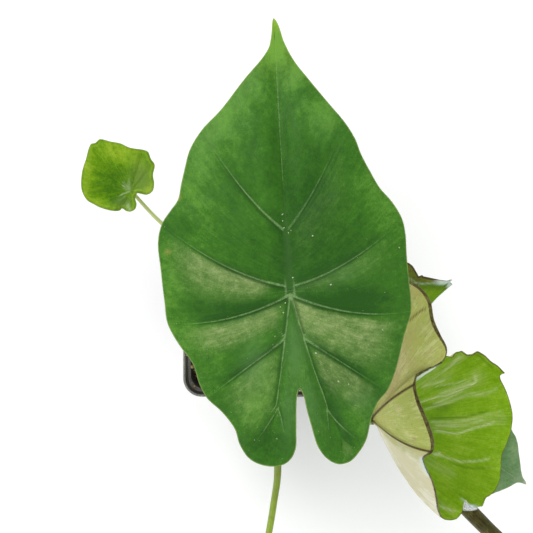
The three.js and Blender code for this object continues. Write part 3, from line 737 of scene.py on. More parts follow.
@dataclass(frozen=True)
class PotFinish:
    """Dark moulded plastic: satin, with fine pitting, dust on its ledges, and edges lightened by wear and by painted
    highlight.
    """

    name: str = "pot_plastic"
    plastic: RGBA = linear(33, 34, 30)
    # Lighter grey of scuffs and of the rim's lips: wear, and on the lips also painted highlight.
    wear_and_highlight: RGBA = linear(140, 140, 132)
    dust: RGBA = linear(104, 98, 84)
    dirt: RGBA = linear(150, 134, 104)
    roughness: float = 0.42
    depth: float = 0.09
    gloss: float = 0.45

    def build(self) -> Skin:
        """Writes the material's nodes.

        Returns:
            The material.
        """
        paint = Paint(self.name)
        cloud = paint.spots(0.06, 4.0, 0.6)
        fine = paint.spots(2.5, 3.0, 0.65)
        pit = paint.smooth(paint.cells(1.8, Cells.TO_CENTRE), 0.05, 0.4)
        scuff = paint.smooth(paint.noise(paint.stretched(0.5, 0.5, 0.05), 1.0, 4.0, 0.7), 0.6, 0.72)
        up = self.facing_up(paint)
        coat = Coat(paint, self.plastic)
        coat.lay(self.wear_and_highlight, scuff * 0.16)
        blot = paint.spots(0.8)
        # The rim's lips lightened: partly wear, partly painted highlight.
        coat.lay(self.wear_and_highlight, paint.stored(Stored.LIP) * (blot * 1.8 + fine * 0.6 - 0.55))
        coat.lay(self.dust, up * paint.smooth(cloud + (fine - 0.5) * 0.4, 0.4, 0.7) * 0.3)
        speck = paint.smooth(paint.spots(1.3), 0.6, 0.68)
        coat.lay(self.dirt, speck * up * 0.6)
        soot = paint.smooth(paint.spots(0.9), 0.5, 0.62)
        coat.lay(self.plastic, soot * up * 0.55)
        splash = paint.smooth(paint.spots(0.35), 0.62, 0.74)
        coat.lay(self.dust, splash * 0.3)
        roughness = self.roughness + (cloud - 0.5) * 0.3 + splash * 0.25 + up * 0.08
        return paint.finish(coat.colour, roughness, pit * 0.5 + fine * 0.5, self.depth, self.gloss)

    @staticmethod
    def facing_up(paint: Paint) -> Value:
        """How far the surface faces up, from 0 to 1."""
        normal = paint.node("ShaderNodeNewGeometry").outputs["Normal"]
        parts = paint.node("ShaderNodeSeparateXYZ", None, {0: normal})
        return paint.smooth(paint.value(parts, 2), 0.4, 0.95)


@dataclass(frozen=True)
class CrumbFinish:
    """Loose material in the pot: soil, bark or perlite."""

    name: str
    dark: RGBA
    light: RGBA
    fleck: RGBA
    flecks: float = 0.2
    roughness: float = 0.9
    spots: float = 0.6
    depth: float = 0.7

    def build(self) -> Skin:
        """Writes the material's nodes.

        Returns:
            The material.
        """
        paint = Paint(self.name)
        lump = paint.spots(self.spots * 0.4, 4.0, 0.65)
        fine = paint.spots(self.spots * 3.0)
        fibre = paint.noise(paint.stretched(0.3, 2.2, 1.1), 1.0, 3.0, 0.6)
        coat = Coat(paint, self.dark)
        coat.lay(self.light, paint.smooth(lump + (fibre - 0.5) * 0.5, 0.4, 0.66))
        coat.lay(self.fleck, paint.smooth(fine, 0.6, 0.7) * self.flecks)
        roughness = self.roughness - paint.smooth(lump, 0.55, 0.75) * 0.25
        return paint.finish(coat.colour, roughness, fine * 0.7 + fibre * 0.3, self.depth)


@dataclass(frozen=True)
class FloorFinish:
    """The studio's pale floor."""

    name: str = "studio_floor"
    pale: RGBA = (0.94, 0.94, 0.935, 1.0)
    faint: RGBA = (0.92, 0.92, 0.915, 1.0)
    roughness: float = 0.7

    def build(self) -> Skin:
        """Writes the material's nodes.

        Returns:
            The material.
        """
        paint = Paint(self.name)
        colour = paint.mix(self.pale, self.faint, paint.spots(0.004, 2.0, 0.5))
        return paint.finish(colour, self.roughness)


# ---- Shapes shared by the pieces ----


def through(points: Array, positions: Array, closed: bool) -> Array:
    """Places on a smooth curve through points, with position counted in points.

    Args:
        points: the points, one a row.
        positions: where to read the curve.
        closed: whether the last point leads back to the first.

    Returns:
        One place a position.
    """
    count = len(points)
    if closed:
        first = np.floor(positions).astype(int)
        p0, p1, p2, p3 = (points[(first + offset) % count] for offset in (-1, 0, 1, 2))
    else:
        first = np.clip(np.floor(positions).astype(int), 0, count - 2)
        longer = np.vstack([2 * points[0] - points[1], points, 2 * points[-1] - points[-2]])
        p0, p1, p2, p3 = (longer[first + offset] for offset in (0, 1, 2, 3))
    part = (positions - first)[:, None]
    d0, d1, d2 = (np.sqrt(np.maximum(np.linalg.norm(b - a, axis=1), 1e-8))[:, None]
                  for a, b in ((p0, p1), (p1, p2), (p2, p3)))
    start = ((p1 - p0) / d0 - (p2 - p0) / (d0 + d1) + (p2 - p1) / d1) * d1
    end = ((p2 - p1) / d1 - (p3 - p1) / (d1 + d2) + (p3 - p2) / d2) * d1
    square, cube = part**2, part**3
    return (p1 * (2 * cube - 3 * square + 1) + start * (cube - 2 * square + part)
            + p2 * (3 * square - 2 * cube) + end * (cube - square))


def bezier(start: Array, middle: Array, end: Array, part: Array) -> Array:
    """Places on a curve that leans towards its middle point."""
    rest = 1 - part
    return start * rest**2 + middle * 2 * rest * part + end * part**2


def eased(value: Array | float, low: float, high: float) -> Array:
    """Eases from 0 at low to 1 at high."""
    share = np.clip((np.asarray(value, float) - low) / (high - low), 0, 1)
    return share * share * (3 - 2 * share)


def window(value: Array | float, rise: tuple[float, float], fall: tuple[float, float]) -> Array:
    """Eases from 0 to 1 over rise, and back to 0 over fall."""
    return eased(value, *rise) * (1 - eased(value, *fall))


def bell(value: Array, width: float) -> Array:
    """A soft hump, 1 where value is 0."""
    return np.exp(-(value / width) ** 2)


def bead(value: Array, half: float) -> Array:
    """A round hump, 1 where value is 0 and 0 from half on."""
    return np.sqrt(np.clip(1 - (value / half) ** 2, 0, 1))


def icosphere(subdivisions: int, radius: float) -> tuple[Array, list[list[int]]]:
    """A ball about the origin.

    Args:
        subdivisions: how often its faces are split.
        radius: its radius.

    Returns:
        Points and faces.
    """
    ball = bmesh.new()
    bmesh.ops.create_icosphere(ball, subdivisions=subdivisions, radius=radius)
    points = np.array([vertex.co[:] for vertex in ball.verts])
    faces = [[vertex.index for vertex in face.verts] for face in ball.faces]
    ball.free()
    return points, faces


def crowded(count: int, strength: float) -> Array:
    """Numbers from 0 to 1 that crowd towards both ends.

    Args:
        count: how many steps.
        strength: 0 for even steps, near 1 for steps that almost vanish at the ends.

    Returns:
        count + 1 numbers.
    """
    even = np.linspace(0, 1, count + 1)
    return even - strength * np.sin(2 * np.pi * even) / (2 * np.pi)


def gap_to_line(points: Array, line: Array) -> Array:
    """Distance from each point to a polyline.

    Args:
        points: the points.
        line: the polyline's points.

    Returns:
        One distance a point.
    """
    best = np.full(len(points), 1e9)
    for a, b in zip(line[:-1], line[1:]):
        along = b - a
        share = np.clip((points - a) @ along / max(along @ along, 1e-12), 0, 1)
        best = np.minimum(best, np.linalg.norm(points - a - share[:, None] * along, axis=1))
    return best


def side_of_line(points: Array, line: Array) -> Array:
    """Which side of a flat polyline each point lies on.

    Args:
        points: flat points.
        line: the polyline's flat points.

    Returns:
        1 for the left of the line's run and -1 for the right, one a point.
    """
    middles = (line[:-1] + line[1:]) / 2
    nearest = np.argmin(np.linalg.norm(points[:, None] - middles[None], axis=2), axis=1)
    along = (line[1:] - line[:-1])[nearest]
    away = points - line[:-1][nearest]
    return np.where(along[:, 0] * away[:, 1] - along[:, 1] * away[:, 0] >= 0, 1.0, -1.0)


def corner_normals(points: Array, faces: Sequence[Sequence[int]]) -> Array:
    """Unit normals at a sheet's points, averaged over the faces round each.

    Args:
        points: the sheet's points.
        faces: its faces, as point numbers.

    Returns:
        One normal a point.
    """
    triangles = np.array([(face[0], face[k], face[k + 1]) for face in faces for k in range(1, len(face) - 1)])
    a, b, c = (points[triangles[:, k]] for k in range(3))
    across = np.cross(b - a, c - a)
    total = np.zeros_like(points)
    for k in range(3):
        np.add.at(total, triangles[:, k], across)
    return total / np.maximum(np.linalg.norm(total, axis=1), 1e-12)[:, None]


def make_piece(name: str, points: Array, faces: Iterable[Sequence[int]], skin: Skin,
               stored: dict[str, Array] | None = None, crease: float | None = None) -> Piece:
    """Makes an object from points in millimetres.

    Args:
        name: the piece's name.
        points: its points.
        faces: its faces, as point numbers.
        skin: its material.
        stored: numbers kept on its points, by name.
        crease: angle in degrees past which an edge stays sharp, or None for smooth all over.

    Returns:
        The new object.
    """
    mesh = bpy.data.meshes.new(name)
    mesh.from_pydata((points * MM).tolist(), [], [list(map(int, face)) for face in faces])
    mesh.validate()
    mesh.shade_smooth()
    if crease is not None:
        mesh.set_sharp_from_angle(angle=math.radians(crease))
    for key, numbers in (stored or {}).items():
        layer = mesh.attributes.new(key, "FLOAT", "POINT")
        layer.data.foreach_set("value", np.ascontiguousarray(numbers, dtype=np.float32))
    mesh.materials.append(skin)
    made = bpy.data.objects.new(name, mesh)
    bpy.context.collection.objects.link(made)
    return made


def settle(piece: Piece, slot: str, *nodes: str) -> None:
    """Ties a piece to the frame.

    Args:
        piece: the piece.
        slot: not used.
        nodes: the CAD nodes that it stands for.
    """
    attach(piece, BODY)
    if nodes:
        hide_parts(*nodes)
    piece.data.calc_loop_triangles()
    LOG.info("%s: %d triangles", piece.name, len(piece.data.loop_triangles))


# ---- Leaf blades ----


@dataclass
class Blade:
    """A leaf blade as a sheet of rows that run from its ribs out to its margin, given thickness.

    Building it fills in seat and facing, where the stalk meets it and which way its upper side looks there, and
    upper and upward, its upper face's points and normals.
    """

    name: str
    at: Triple
    heading: float = 90.0
    hang: float = 0.0
    thickness: float = 0.8
    rib: float = 0.8
    root: int = field(init=False, default=0)
    seat: Array = field(init=False, repr=False)
    facing: Array = field(init=False, repr=False)
    upper: Array = field(init=False, repr=False)
    upward: Array = field(init=False, repr=False)

    def turn(self) -> Matrix:
        """The turn and move that set the blade on its stalk."""
        around = Matrix.Rotation(math.radians(self.heading - 90), 4, "Z")
        down = Matrix.Rotation(math.radians(-self.hang), 4, "X")
        return Matrix.Translation(Vector(self.at)) @ around @ down

    def placed(self, points: Array) -> Array:
        """Moves points from the blade's own frame to the plant's."""
        turn = np.array(self.turn())
        return points @ turn[:3, :3].T + turn[:3, 3]

    @staticmethod
    def quads(index: Array) -> list[list[int]]:
        """Faces between neighbouring rows, the last row joined to the first.

        Args:
            index: point numbers, one row of the blade a row.

        Returns:
            Faces, with points that coincide left out.
        """
        faces = []
        following = np.roll(index, -1, axis=0)
        for row, after in zip(index, following):
            for j in range(len(row) - 1):
                face = [row[j], row[j + 1], after[j + 1], after[j]]
                kept = [point for k, point in enumerate(face) if point != face[k - 1]]
                if len(kept) > 2:
                    faces.append(kept)
        return faces

    def solid(self, sheet: Array, index: Array, lift: Array, drop: Array,
              stored: dict[str, Array], skin: Skin) -> Piece:
        """Gives a sheet its two faces and closes its margin.

        Args:
            sheet: the sheet's points in the blade's own frame.
            index: point numbers, one row of the blade a row.
            lift: how far the upper face stands off the sheet at each point.
            drop: how far the lower face does.
            stored: numbers kept on the sheet's points.
            skin: the blade's material.

        Returns:
            The blade.
        """
        faces = self.quads(index)
        out = corner_normals(sheet, faces)
        count = len(sheet)
        points = np.vstack([sheet + out * lift[:, None], sheet - out * drop[:, None]])
        below = [[count + point for point in reversed(face)] for face in faces]
        rim = index[:, -1]
        after = np.roll(rim, -1)
        edge = [[b, a, count + a, count + b] for a, b in zip(rim, after) if a != b]
        kept = {key: np.concatenate([numbers, numbers]) for key, numbers in stored.items()}
        kept[Stored.UNDERSIDE] = np.concatenate([np.zeros(count), np.ones(count)])
        turned = out @ np.array(self.turn())[:3, :3].T
        self.upper, self.upward = self.placed(points[:count]), turned
        self.seat, self.facing = self.placed(points[count + self.root][None])[0], turned[self.root]
        return make_piece(self.name, self.placed(points), faces + below + edge, skin, kept)


# How fast an oval fades past its half sizes
OVAL_FALL = 1.1


@dataclass(frozen=True)
class Patch:
    """A soft oval on a blade, in its own flat millimetres."""

    x: float
    y: float
    half_width: float
    half_height: float
    turn: float = 0.0
    strength: float = 1.0

    def over(self, x: Array, y: Array) -> Array:
        """How strongly the oval covers each point.

        Args:
            x: places across the blade.
            y: places along it.

        Returns:
            Numbers from 0 to the oval's strength.
        """
        c, s = math.cos(math.radians(self.turn)), math.sin(math.radians(self.turn))
        dx, dy = x - self.x, y - self.y
        away = np.hypot((dx * c + dy * s) / self.half_width, (dy * c - dx * s) / self.half_height)
        return self.strength * np.exp(-OVAL_FALL * away**2)


def ovals(*rows: tuple[float, ...]) -> tuple[Patch, ...]:
    """Ovals from rows of place, half width, half height, turn and strength."""
    return tuple(Patch(*row) for row in rows)


def covered(patches: tuple[Patch, ...], x: Array, y: Array) -> Array:
    """How strongly any of the ovals covers each point."""
    return np.maximum.reduce([np.zeros_like(x), *(patch.over(x, y) for patch in patches)])


# Margin of the shield-shaped blade: x, y, and how far out on a rib its vein starts (1 at the midrib's end,
# 0 at the stalk, -1 at the end of a lobe's rib). It runs tip, left side, left lobe, notch, right lobe, right side.
SHIELD_MARGIN = np.array([
    (-6.8, 117.6, 1), (-7.9, 108.8, 0.96), (-8.9, 104.3, 0.93), (-12.1, 98.9, 0.85), (-19.3, 90, 0.7),
    (-28.9, 77, 0.48), (-36.8, 68.5, 0.25), (-41.8, 60.1, 0.19), (-44, 51.6, 0.15), (-45.2, 46.2, 0.12),
    (-46.6, 39.1, 0.08), (-49.5, 34.9, 0.05), (-53.3, 29.1, 0.03), (-54.9, 21.6, 0.02), (-53.8, 10.8, 0.01),
    (-52.1, -3.3, 0), (-50.9, -12.1, 0), (-46.5, -20.4, -0.1), (-40.3, -29, -0.2), (-37.6, -37.4, -0.3),
    (-34.5, -43.2, -0.3), (-28.3, -49, -0.42), (-22.9, -56.1, -0.6), (-20.8, -62.9, -0.8), (-16.7, -68.8, -0.95),
    (-10, -71.7, -1), (-3.8, -71.5, -1), (0, -69.1, -0.95), (2.3, -64.5, -0.8), (2.6, -55.6, -0.6),
    (2.6, -46.3, -0.42), (2.8, -42.5, -0.3), (3.1, -40.9, -0.2), (3.5, -39.7, -0.1), (4, -39.2, 0),
    (4.5, -39.7, -0.1), (4.9, -40.6, -0.2), (5.7, -42.6, -0.3), (6.8, -47.6, -0.42), (8.9, -55.2, -0.6),
    (11.6, -63.6, -0.8), (15.4, -68.6, -0.95), (20, -71, -1), (25, -70, -1), (28.8, -66, -0.95),
    (31.7, -60.9, -0.8), (33.7, -52, -0.6), (36.5, -44.9, -0.42), (40.3, -40.4, -0.3), (42.8, -34.9, -0.3),
    (44.8, -28.3, -0.2), (47.3, -17.4, -0.1), (50.2, -7.1, 0), (49.3, 5.8, 0), (48.3, 16.2, 0.01),
    (47.9, 24.5, 0.02), (46.5, 31.1, 0.03), (42.3, 38.2, 0.05), (36.9, 44.4, 0.08), (33.6, 50.2, 0.12),
    (29.5, 58.2, 0.15), (27.1, 64.6, 0.19), (23, 71.4, 0.25), (16.4, 79.5, 0.48), (8.1, 89.9, 0.7),
    (1.8, 98.4, 0.85), (-2.2, 106.6, 0.94), (-5.0, 115.2, 0.985),
])
SHIELD_COUNT = len(SHIELD_MARGIN)
# Margin positions of the left side's widest point, the left lobe's end and the notch
SHIELD_SIDE = 16
SHIELD_LOBE = 26
SHIELD_NOTCH = 34
SHIELD_TIP_Y = 117.6
SHIELD_LOBE_Y = 71.7
SHIELD_HALF_WIDTH = 52.0
MIDRIB = np.array([(0, 0), (-3.5, 50), (-6.5, 110.2)], float)
LEFT_LOBE_RIB = np.array([(0, 0), (-3.2, -30), (-8.3, -61.9)], float)
RIGHT_LOBE_RIB = np.array([(0, 0), (8.2, -29), (21.6, -62)], float)
# How plainly the vein that ends at each margin point shows
SHIELD_VEINS = {0: 0.0, 4: 0.0, 6: 0.8, 12: 1.0, 16: 1.0, 20: 0.85, 24: 0.0, 26: 0.0, 34: 0.0,
                42: 0.0, 44: 0.0, 48: 0.85, 52: 1.0, 56: 0.8, 62: 0.4, 64: 0.0}
# Where the lobes' ribs fork, as a share of their length, and the two branches there
LOBE_FORK = 0.76
LEFT_FORK = (np.array([(-5.0, -47.2), (-9.0, -53.6), (-13.7, -60.4)]),
             np.array([(-5.0, -47.2), (-3.4, -51.0), (-2.6, -57.0)]))
RIGHT_FORK = (np.array([(15.0, -47.4), (15.6, -51.5), (15.9, -56.5)]),
              np.array([(15.0, -47.4), (19.6, -53.6), (26.6, -59.4)]))
# The blade's valley along its ribs: depth and half width
RIB_VALLEY = 1.4
RIB_VALLEY_WIDTH = 7.0
# A gap wider than any vein's, and the least thickness of a blade
NO_VEIN = 30.0
THINNEST = 0.16


@dataclass(frozen=True)
class VeinLook:
    """A vein's half width at its end, what its start adds to that, its strength, and how much of that fades."""

    width: float
    more: float
    strength: float
    fade: float


# How many margin points to either side a side vein can reach
VEIN_REACH = 7
SIDE_VEIN_LOOK = VeinLook(0.32, 0.46, 1.0, 0.9)
LOBE_RIB_LOOK = VeinLook(0.42, 0.3, 0.8, 0.15)
FORK_LOOK = VeinLook(0.3, 0.15, 0.6, 0.7)


@dataclass(frozen=True)
class Panel:
    """A painted sheen on the blade between two veins, strongest beside the upper one, with painted shade above the
    lower one.
    """

    first: int
    last: int
    strength: float
    reach: float = 0.75
    start: float = 0.03
    shadow: float = 0.35

    def over(self, row: Array, out: Array) -> Array:
        """How strongly the painted sheen covers each point.

        Args:
            row: margin position of each point's row.
            out: step along the row.

        Returns:
            Numbers from 0 to the panel's strength.
        """
        part = self.part(row)
        inside = (part > 0) & (part < 1)
        across = window(part, (0.02, 0.14), (0.25, self.reach))
        return self.strength * inside * across * window(out, (self.start, self.start + 0.15), (0.6, 0.98))

    def shade(self, row: Array, out: Array) -> Array:
        """How much painted shade each point gets for lying close above the lower vein."""
        part = self.part(row)
        return self.shadow * eased(part, 0.55, 0.95) * (part < 1) * window(out, (0.02, 0.15), (0.5, 0.95))

    def part(self, row: Array) -> Array:
        """How far each row lies from the upper vein to the lower one."""
        return (row - self.first) / (self.last - self.first)


@dataclass
class ShieldBlade(Blade):
    """A shield-shaped blade that carries its stalk a little in from the notch between its two lobes."""

    scale: float = 1.0
    mirror: bool = False
    tip_droop: float = 28.0
    lobe_droop: float = 9.0
    side_droop: float = 7.0
    bulge: float = 1.8
    rows_per_mm: float = 1.05
    row_crowding: float = 0.7
    steps: int = 46
    step_crowding: float = 0.45
    finish: ShieldLeafFinish = field(default_factory=lambda: ShieldLeafFinish("shield_leaf"))
    # Painted sheen and painted shade between veins, then ovals of painted highlight, painted shade and greyer tone
    # with painted sheen.
    panels: tuple[Panel, ...] = (Panel(12, 16, 0.35), Panel(16, 20, 0.35), Panel(20, 24, 0.2), Panel(56, 52, 0.3),
                                 Panel(52, 48, 0.35), Panel(48, 44, 0.25))
    light: tuple[Patch, ...] = ovals((-28, 70, 12, 20, -35, 0.4), (16, 72, 12, 16, 20, 0.4))
    dark: tuple[Patch, ...] = ovals((0, 35, 26, 40, 0, 0.3), (-4, -62, 12, 8, 0, 0.3))
    grey: tuple[Patch, ...] = ovals((2, -20, 4, 14, 0, 0.4), (-1, -48, 3, 14, 0, 0.3), (7.5, -44, 3, 12, 12, 0.3))
    spots: tuple[Patch, ...] = ()

    def row_positions(self) -> Array:
        """Margin positions of the rows, crowded beside the veins.

        Rows of a lobe's inner side start at the same rib points as those of its outer side, and the right
        side mirrors the left.

        Returns:
            Positions from 0 up to the margin's count.
        """
        veins = [vein for vein in SHIELD_VEINS if vein <= SHIELD_LOBE]
        outer: list[float] = []
        for first, last in zip(veins[:-1], veins[1:]):
            span = SHIELD_MARGIN[first:last + 1, :2]
            length = np.linalg.norm(np.diff(span, axis=0), axis=1).sum() * self.scale
            count = max(6, round(length * self.rows_per_mm))
            outer += (first + (last - first) * crowded(count, self.row_crowding))[:-1].tolist()
        starts = self.starts(np.array(outer))
        lobe = sorted({round(start, 6) for start, place in zip(starts, outer)
                       if place > SHIELD_SIDE and -1 < start < 0})
        ends = SHIELD_MARGIN[SHIELD_LOBE:SHIELD_NOTCH + 1, 2]
        inner = [SHIELD_LOBE + float(np.interp(start, ends, np.arange(len(ends)))) for start in lobe]
        left = np.array(outer + [float(SHIELD_LOBE)] + inner)
        right = SHIELD_COUNT - left[1:][::-1]
        return np.concatenate([left, [float(SHIELD_NOTCH)], right])

    @staticmethod
    def starts(positions: Array) -> Array:
        """How far out on a rib each row starts.

        Args:
            positions: the rows' margin positions.

        Returns:
            Shares as in the margin's table.
        """
        first = np.floor(positions).astype(int)
        part = positions - first
        column = SHIELD_MARGIN[:, 2]
        return column[first % SHIELD_COUNT] * (1 - part) + column[(first + 1) % SHIELD_COUNT] * part

    def rows(self, positions: Array, out: Array) -> tuple[Array, Array, Array]:
        """Works out the rows flat on the ground.

        Args:
            positions: the rows' margin positions.
            out: steps along each row, 0 at the rib and 1 at the margin.

        Returns:
            Flat places by row and step, each row's start on its rib, and each row's length.
        """
        start = self.starts(positions)
        edge = through(SHIELD_MARGIN[:, :2], positions, closed=True)
        share = np.abs(start)[:, None]
        lobes = np.where((positions > SHIELD_NOTCH)[:, None, None], RIGHT_LOBE_RIB, LEFT_LOBE_RIB)
        ribs = np.where((start >= 0)[:, None, None], MIDRIB, lobes)
        root = bezier(ribs[:, 0], ribs[:, 1], ribs[:, 2], share)
        length = np.linalg.norm(edge - root, axis=1)
        middle = (root + edge) / 2
        middle[:, 1] -= 0.15 * length * eased(start, -0.3, 0)
        flat = bezier(root[:, None], middle[:, None], edge[:, None], out[None, :, None])
        return flat, start, length

    def relief(self, flat: Array, between: Array, length: Array, out: Array) -> Array:
        """Height of the blade over its flat shape.

        Args:
            flat: flat places by row and step.
            between: how much each row swells between its veins.
            length: each row's length.
            out: steps along each row.

        Returns:
            Heights by row and step.
        """
        x, y = flat[..., 0], flat[..., 1]
        fall = (self.tip_droop * (np.maximum(y, 0) / SHIELD_TIP_Y) ** 2.2
                + self.lobe_droop * (np.maximum(-y, 0) / SHIELD_LOBE_Y) ** 1.6
                + self.side_droop * (x / SHIELD_HALF_WIDTH) ** 2)
        away = out[None, :] * length[:, None] / RIB_VALLEY_WIDTH
        swell = (between * eased(length, 5, 26))[:, None] * 4 * out * (1 - out)
        return -fall - RIB_VALLEY * bell(away, 1) + self.bulge * swell

    @staticmethod
    def between_veins(positions: Array) -> Array:
        """How far each row lies between the veins beside it.

        Args:
            positions: the rows' margin positions.

        Returns:
            0 at one vein and 1 at the next, one a row.
        """
        veins = np.array([*SHIELD_VEINS, SHIELD_COUNT], float)
        after = np.clip(np.searchsorted(veins, positions, side="right"), 1, len(veins) - 1)
        return (positions - veins[after - 1]) / (veins[after] - veins[after - 1])

    def skeleton(self, positions: Array, start: Array) -> tuple[Array, Array]:
        """Numbers the blade's points, with one point where rows start at the same place on a rib.

        Args:
            positions: the rows' margin positions.
            start: how far out on a rib each row starts.

        Returns:
            Point numbers by row and step, and each point's row and step.
        """
        keys: dict[tuple[str, float], int] = {}
        index = np.zeros((len(positions), self.steps + 1), int)
        source: list[tuple[int, int]] = []
        for i, (place, share) in enumerate(zip(positions, start)):
            side = "mid" if share > 0 else ("right" if place > SHIELD_NOTCH else "left")
            key = ("root", 0.0) if abs(share) < 1e-9 else (side, round(float(share), 5))
            if key not in keys:
                keys[key] = len(source)
                source.append((i, 0))
            index[i, 0] = keys[key]
        for i in range(len(positions)):
            index[i, 1:] = len(source) + np.arange(self.steps)
            source += [(i, j) for j in range(1, self.steps + 1)]
        self.root = keys[("root", 0.0)]
        return index, np.array(source)

    def build(self) -> Piece:
        """Builds and dresses the blade.

        Returns:
            The blade.
        """
        positions = self.row_positions()
        out = crowded(self.steps, self.step_crowding)
        flat, start, length = self.rows(positions, out)
        between = np.sin(np.pi * self.between_veins(positions))
        between *= 1 - window(positions, (24, 26.5), (41.5, 44))
        height = self.relief(flat, between, length, out)
        index, chosen = self.skeleton(positions, start)
        sheet = np.concatenate([flat, height[..., None]], axis=2)[chosen[:, 0], chosen[:, 1]]
        x, y = sheet[:, 0].copy(), sheet[:, 1].copy()
        stored = self.markings(sheet[:, :2], positions[chosen[:, 0]], out[chosen[:, 1]])
        wave = 0.4 * np.sin(x * 0.36 + 1.3 * np.sin(y * 0.23)) * np.sin(y * 0.31 + x * 0.11)
        sheet[:, 2] += wave * between[chosen[:, 0]]
        lift, drop = self.stand_off(y, stored)
        if self.mirror:
            sheet[:, 0] *= -1
            index = index[::-1]
        sheet *= self.scale
        return self.solid(sheet, index, lift, drop, stored, self.finish.build())

    def stand_off(self, y: Array, stored: dict[str, Array]) -> tuple[Array, Array]:
        """How far the two faces stand off the sheet, with their veins, ribs and grooves.

        Args:
            y: how far each point lies towards the tip.
            stored: the points' numbers.

        Returns:
            Distances of the upper face and of the lower one.
        """
        row, step, gap, show = (stored[key] for key in (Stored.ROW, Stored.OUT, Stored.VEIN_GAP, Stored.VEIN_SHOW))
        band, edge_gap = stored[Stored.BAND], stored[Stored.EDGE_GAP]
        fine = 0.1 * np.cos(2 * np.pi * 3 * row) * window(step, (0.05, 0.3), (0.8, 1))
        fine *= 1 - window(row, (23, 25), (43, 45))
        line = 0.3 * bell(gap, 0.75) * show - 0.2 * bell(gap - 2.0, 1.2) * show
        rib_show = eased(y, -8, 0) * np.sqrt(1 - np.clip(y / MIDRIB[2, 1], 0, 1))
        hollow = 0.05 * bell(band - 1.15, 0.25) * stored[Stored.BAND_EDGE] - 0.2 * bell(band, 1) * rib_show
        half = self.thickness / 2 * (0.35 + 0.65 * eased(edge_gap, 0, 2.5))
        rib = self.rib * (1 - 0.7 * np.abs(self.starts(row))) * bead(band, 1.1)
        vein = 0.8 * show * (1 - 0.6 * step) * bead(gap, 2.2)
        drop = half - fine + np.maximum(rib, vein) * eased(edge_gap, 0.3, 3.0)
        lift = half + (fine + line + hollow) * eased(edge_gap, 0.2, 2.0)
        return np.maximum(lift, THINNEST - drop), drop

    def markings(self, flat: Array, row: Array, step: Array) -> dict[str, Array]:
        """The numbers that the finish reads at each point.

        Args:
            flat: flat places.
            row: margin position of each point's row.
            step: step along the row.

        Returns:
            Numbers by name.
        """
        x, y = flat.T
        gap, show = self.nearest_vein(flat, row)
        midrib = bezier(*MIDRIB, np.linspace(0, 1, 40)[:, None])
        share = np.clip(y / MIDRIB[2, 1], 0, 1)
        edge_line = through(SHIELD_MARGIN[:, :2], np.linspace(0, SHIELD_COUNT, 8 * SHIELD_COUNT + 1), closed=True)
        # Painted highlight and painted shade from the ovals, and painted shade above each panel's lower vein.
        tone = 0.5 + covered(self.light, x, y) - covered(self.dark, x, y)
        tone -= sum(panel.shade(row, step) for panel in self.panels)
        band = gap_to_line(flat, midrib) / (0.35 + 1.4 * (1 - eased(share, 0.15, 0.34)))
        in_band = eased(y, 0.5, 3.0) * (1 - eased(band, 0.8, 1.3))
        band_edge = eased(y, -8, -2) * (1 - eased(y, 1, 8) + window(y, (40, 52), (88, 106)))
        tip = np.maximum(eased(y, SHIELD_TIP_Y - 10, SHIELD_TIP_Y - 2), 0.3 * eased(y, 84, 108))
        return {
            Stored.ROW: row, Stored.OUT: step, Stored.VEIN_GAP: gap, Stored.VEIN_SHOW: show * (1 - in_band),
            Stored.BAND: band, Stored.BAND_EDGE: band_edge, Stored.BAND_SHOW: 1 - eased(y, 38, 48),
            Stored.EDGE_GAP: gap_to_line(flat, edge_line), Stored.TONE: tone, Stored.TIP: tip,
            Stored.BLOOM: np.maximum.reduce([np.zeros_like(x), *(panel.over(row, step) for panel in self.panels)]),
            Stored.GREY_AND_SHEEN: covered(self.grey, x, y), Stored.MARK: covered(self.spots, x, y),
        }

    def nearest_vein(self, points: Array, row: Array) -> tuple[Array, Array]:
        """Signed distance to the nearest vein in vein widths, above 0 below the vein, and how plainly it shows.

        Args:
            points: flat places.
            row: margin position of each point's row.

        Returns:
            Distances and strengths, one a point.
        """
        gap, show = np.full(len(points), NO_VEIN), np.zeros(len(points))
        out = np.linspace(0, 1, 60)
        for vein, strength in SHIELD_VEINS.items():
            if strength:
                line = self.rows(np.array([float(vein)]), out)[0][0]
                away = row - vein
                near = np.minimum(np.abs(away), SHIELD_COUNT - np.abs(away)) < VEIN_REACH
                side = np.where(away >= 0, 1, -1) * (1 if vein < SHIELD_NOTCH else -1)
                self.draw_vein(points, line, near, side, replace(SIDE_VEIN_LOOK, strength=strength), gap, show)
        everywhere = np.ones(len(points), bool)
        for rib, forks, dark_side in ((LEFT_LOBE_RIB, LEFT_FORK, -1), (RIGHT_LOBE_RIB, RIGHT_FORK, 1)):
            line = bezier(*rib, out[:, None] * LOBE_FORK)
            side = side_of_line(points, line) * dark_side
            self.draw_vein(points, line, everywhere, side, LOBE_RIB_LOOK, gap, show)
            for branch in forks:
                line = bezier(*branch, out[:, None])
                self.draw_vein(points, line, everywhere, side_of_line(points, line), FORK_LOOK, gap, show)
        return gap, show

    @staticmethod
    def draw_vein(points: Array, line: Array, near: Array, side: Array, look: VeinLook, gap: Array,
                  show: Array) -> None:
        """Puts one vein into the gaps and strengths wherever it is the nearest.

        Args:
            points: flat places.
            line: the vein's places.
            near: which points it can reach.
            side: 1 for points below the vein and -1 for those above it.
            look: how it is drawn.
            gap: signed distances in vein widths, changed in place.
            show: strengths, changed in place.
        """
        sparse = line[::3]
        nearest = np.argmin(np.linalg.norm(points[near][:, None] - sparse[None], axis=2), axis=1)
        place = nearest / (len(sparse) - 1)
        gaps = gap_to_line(points[near], line) / (look.width + look.more * (1 - place) ** 1.3)
        better = gaps < np.abs(gap[near])
        chosen = np.flatnonzero(near)[better]
        gap[chosen] = (gaps * side[near])[better]
        show[chosen] = look.strength * (1 - look.fade * eased(place[better], 0.5, 0.95))


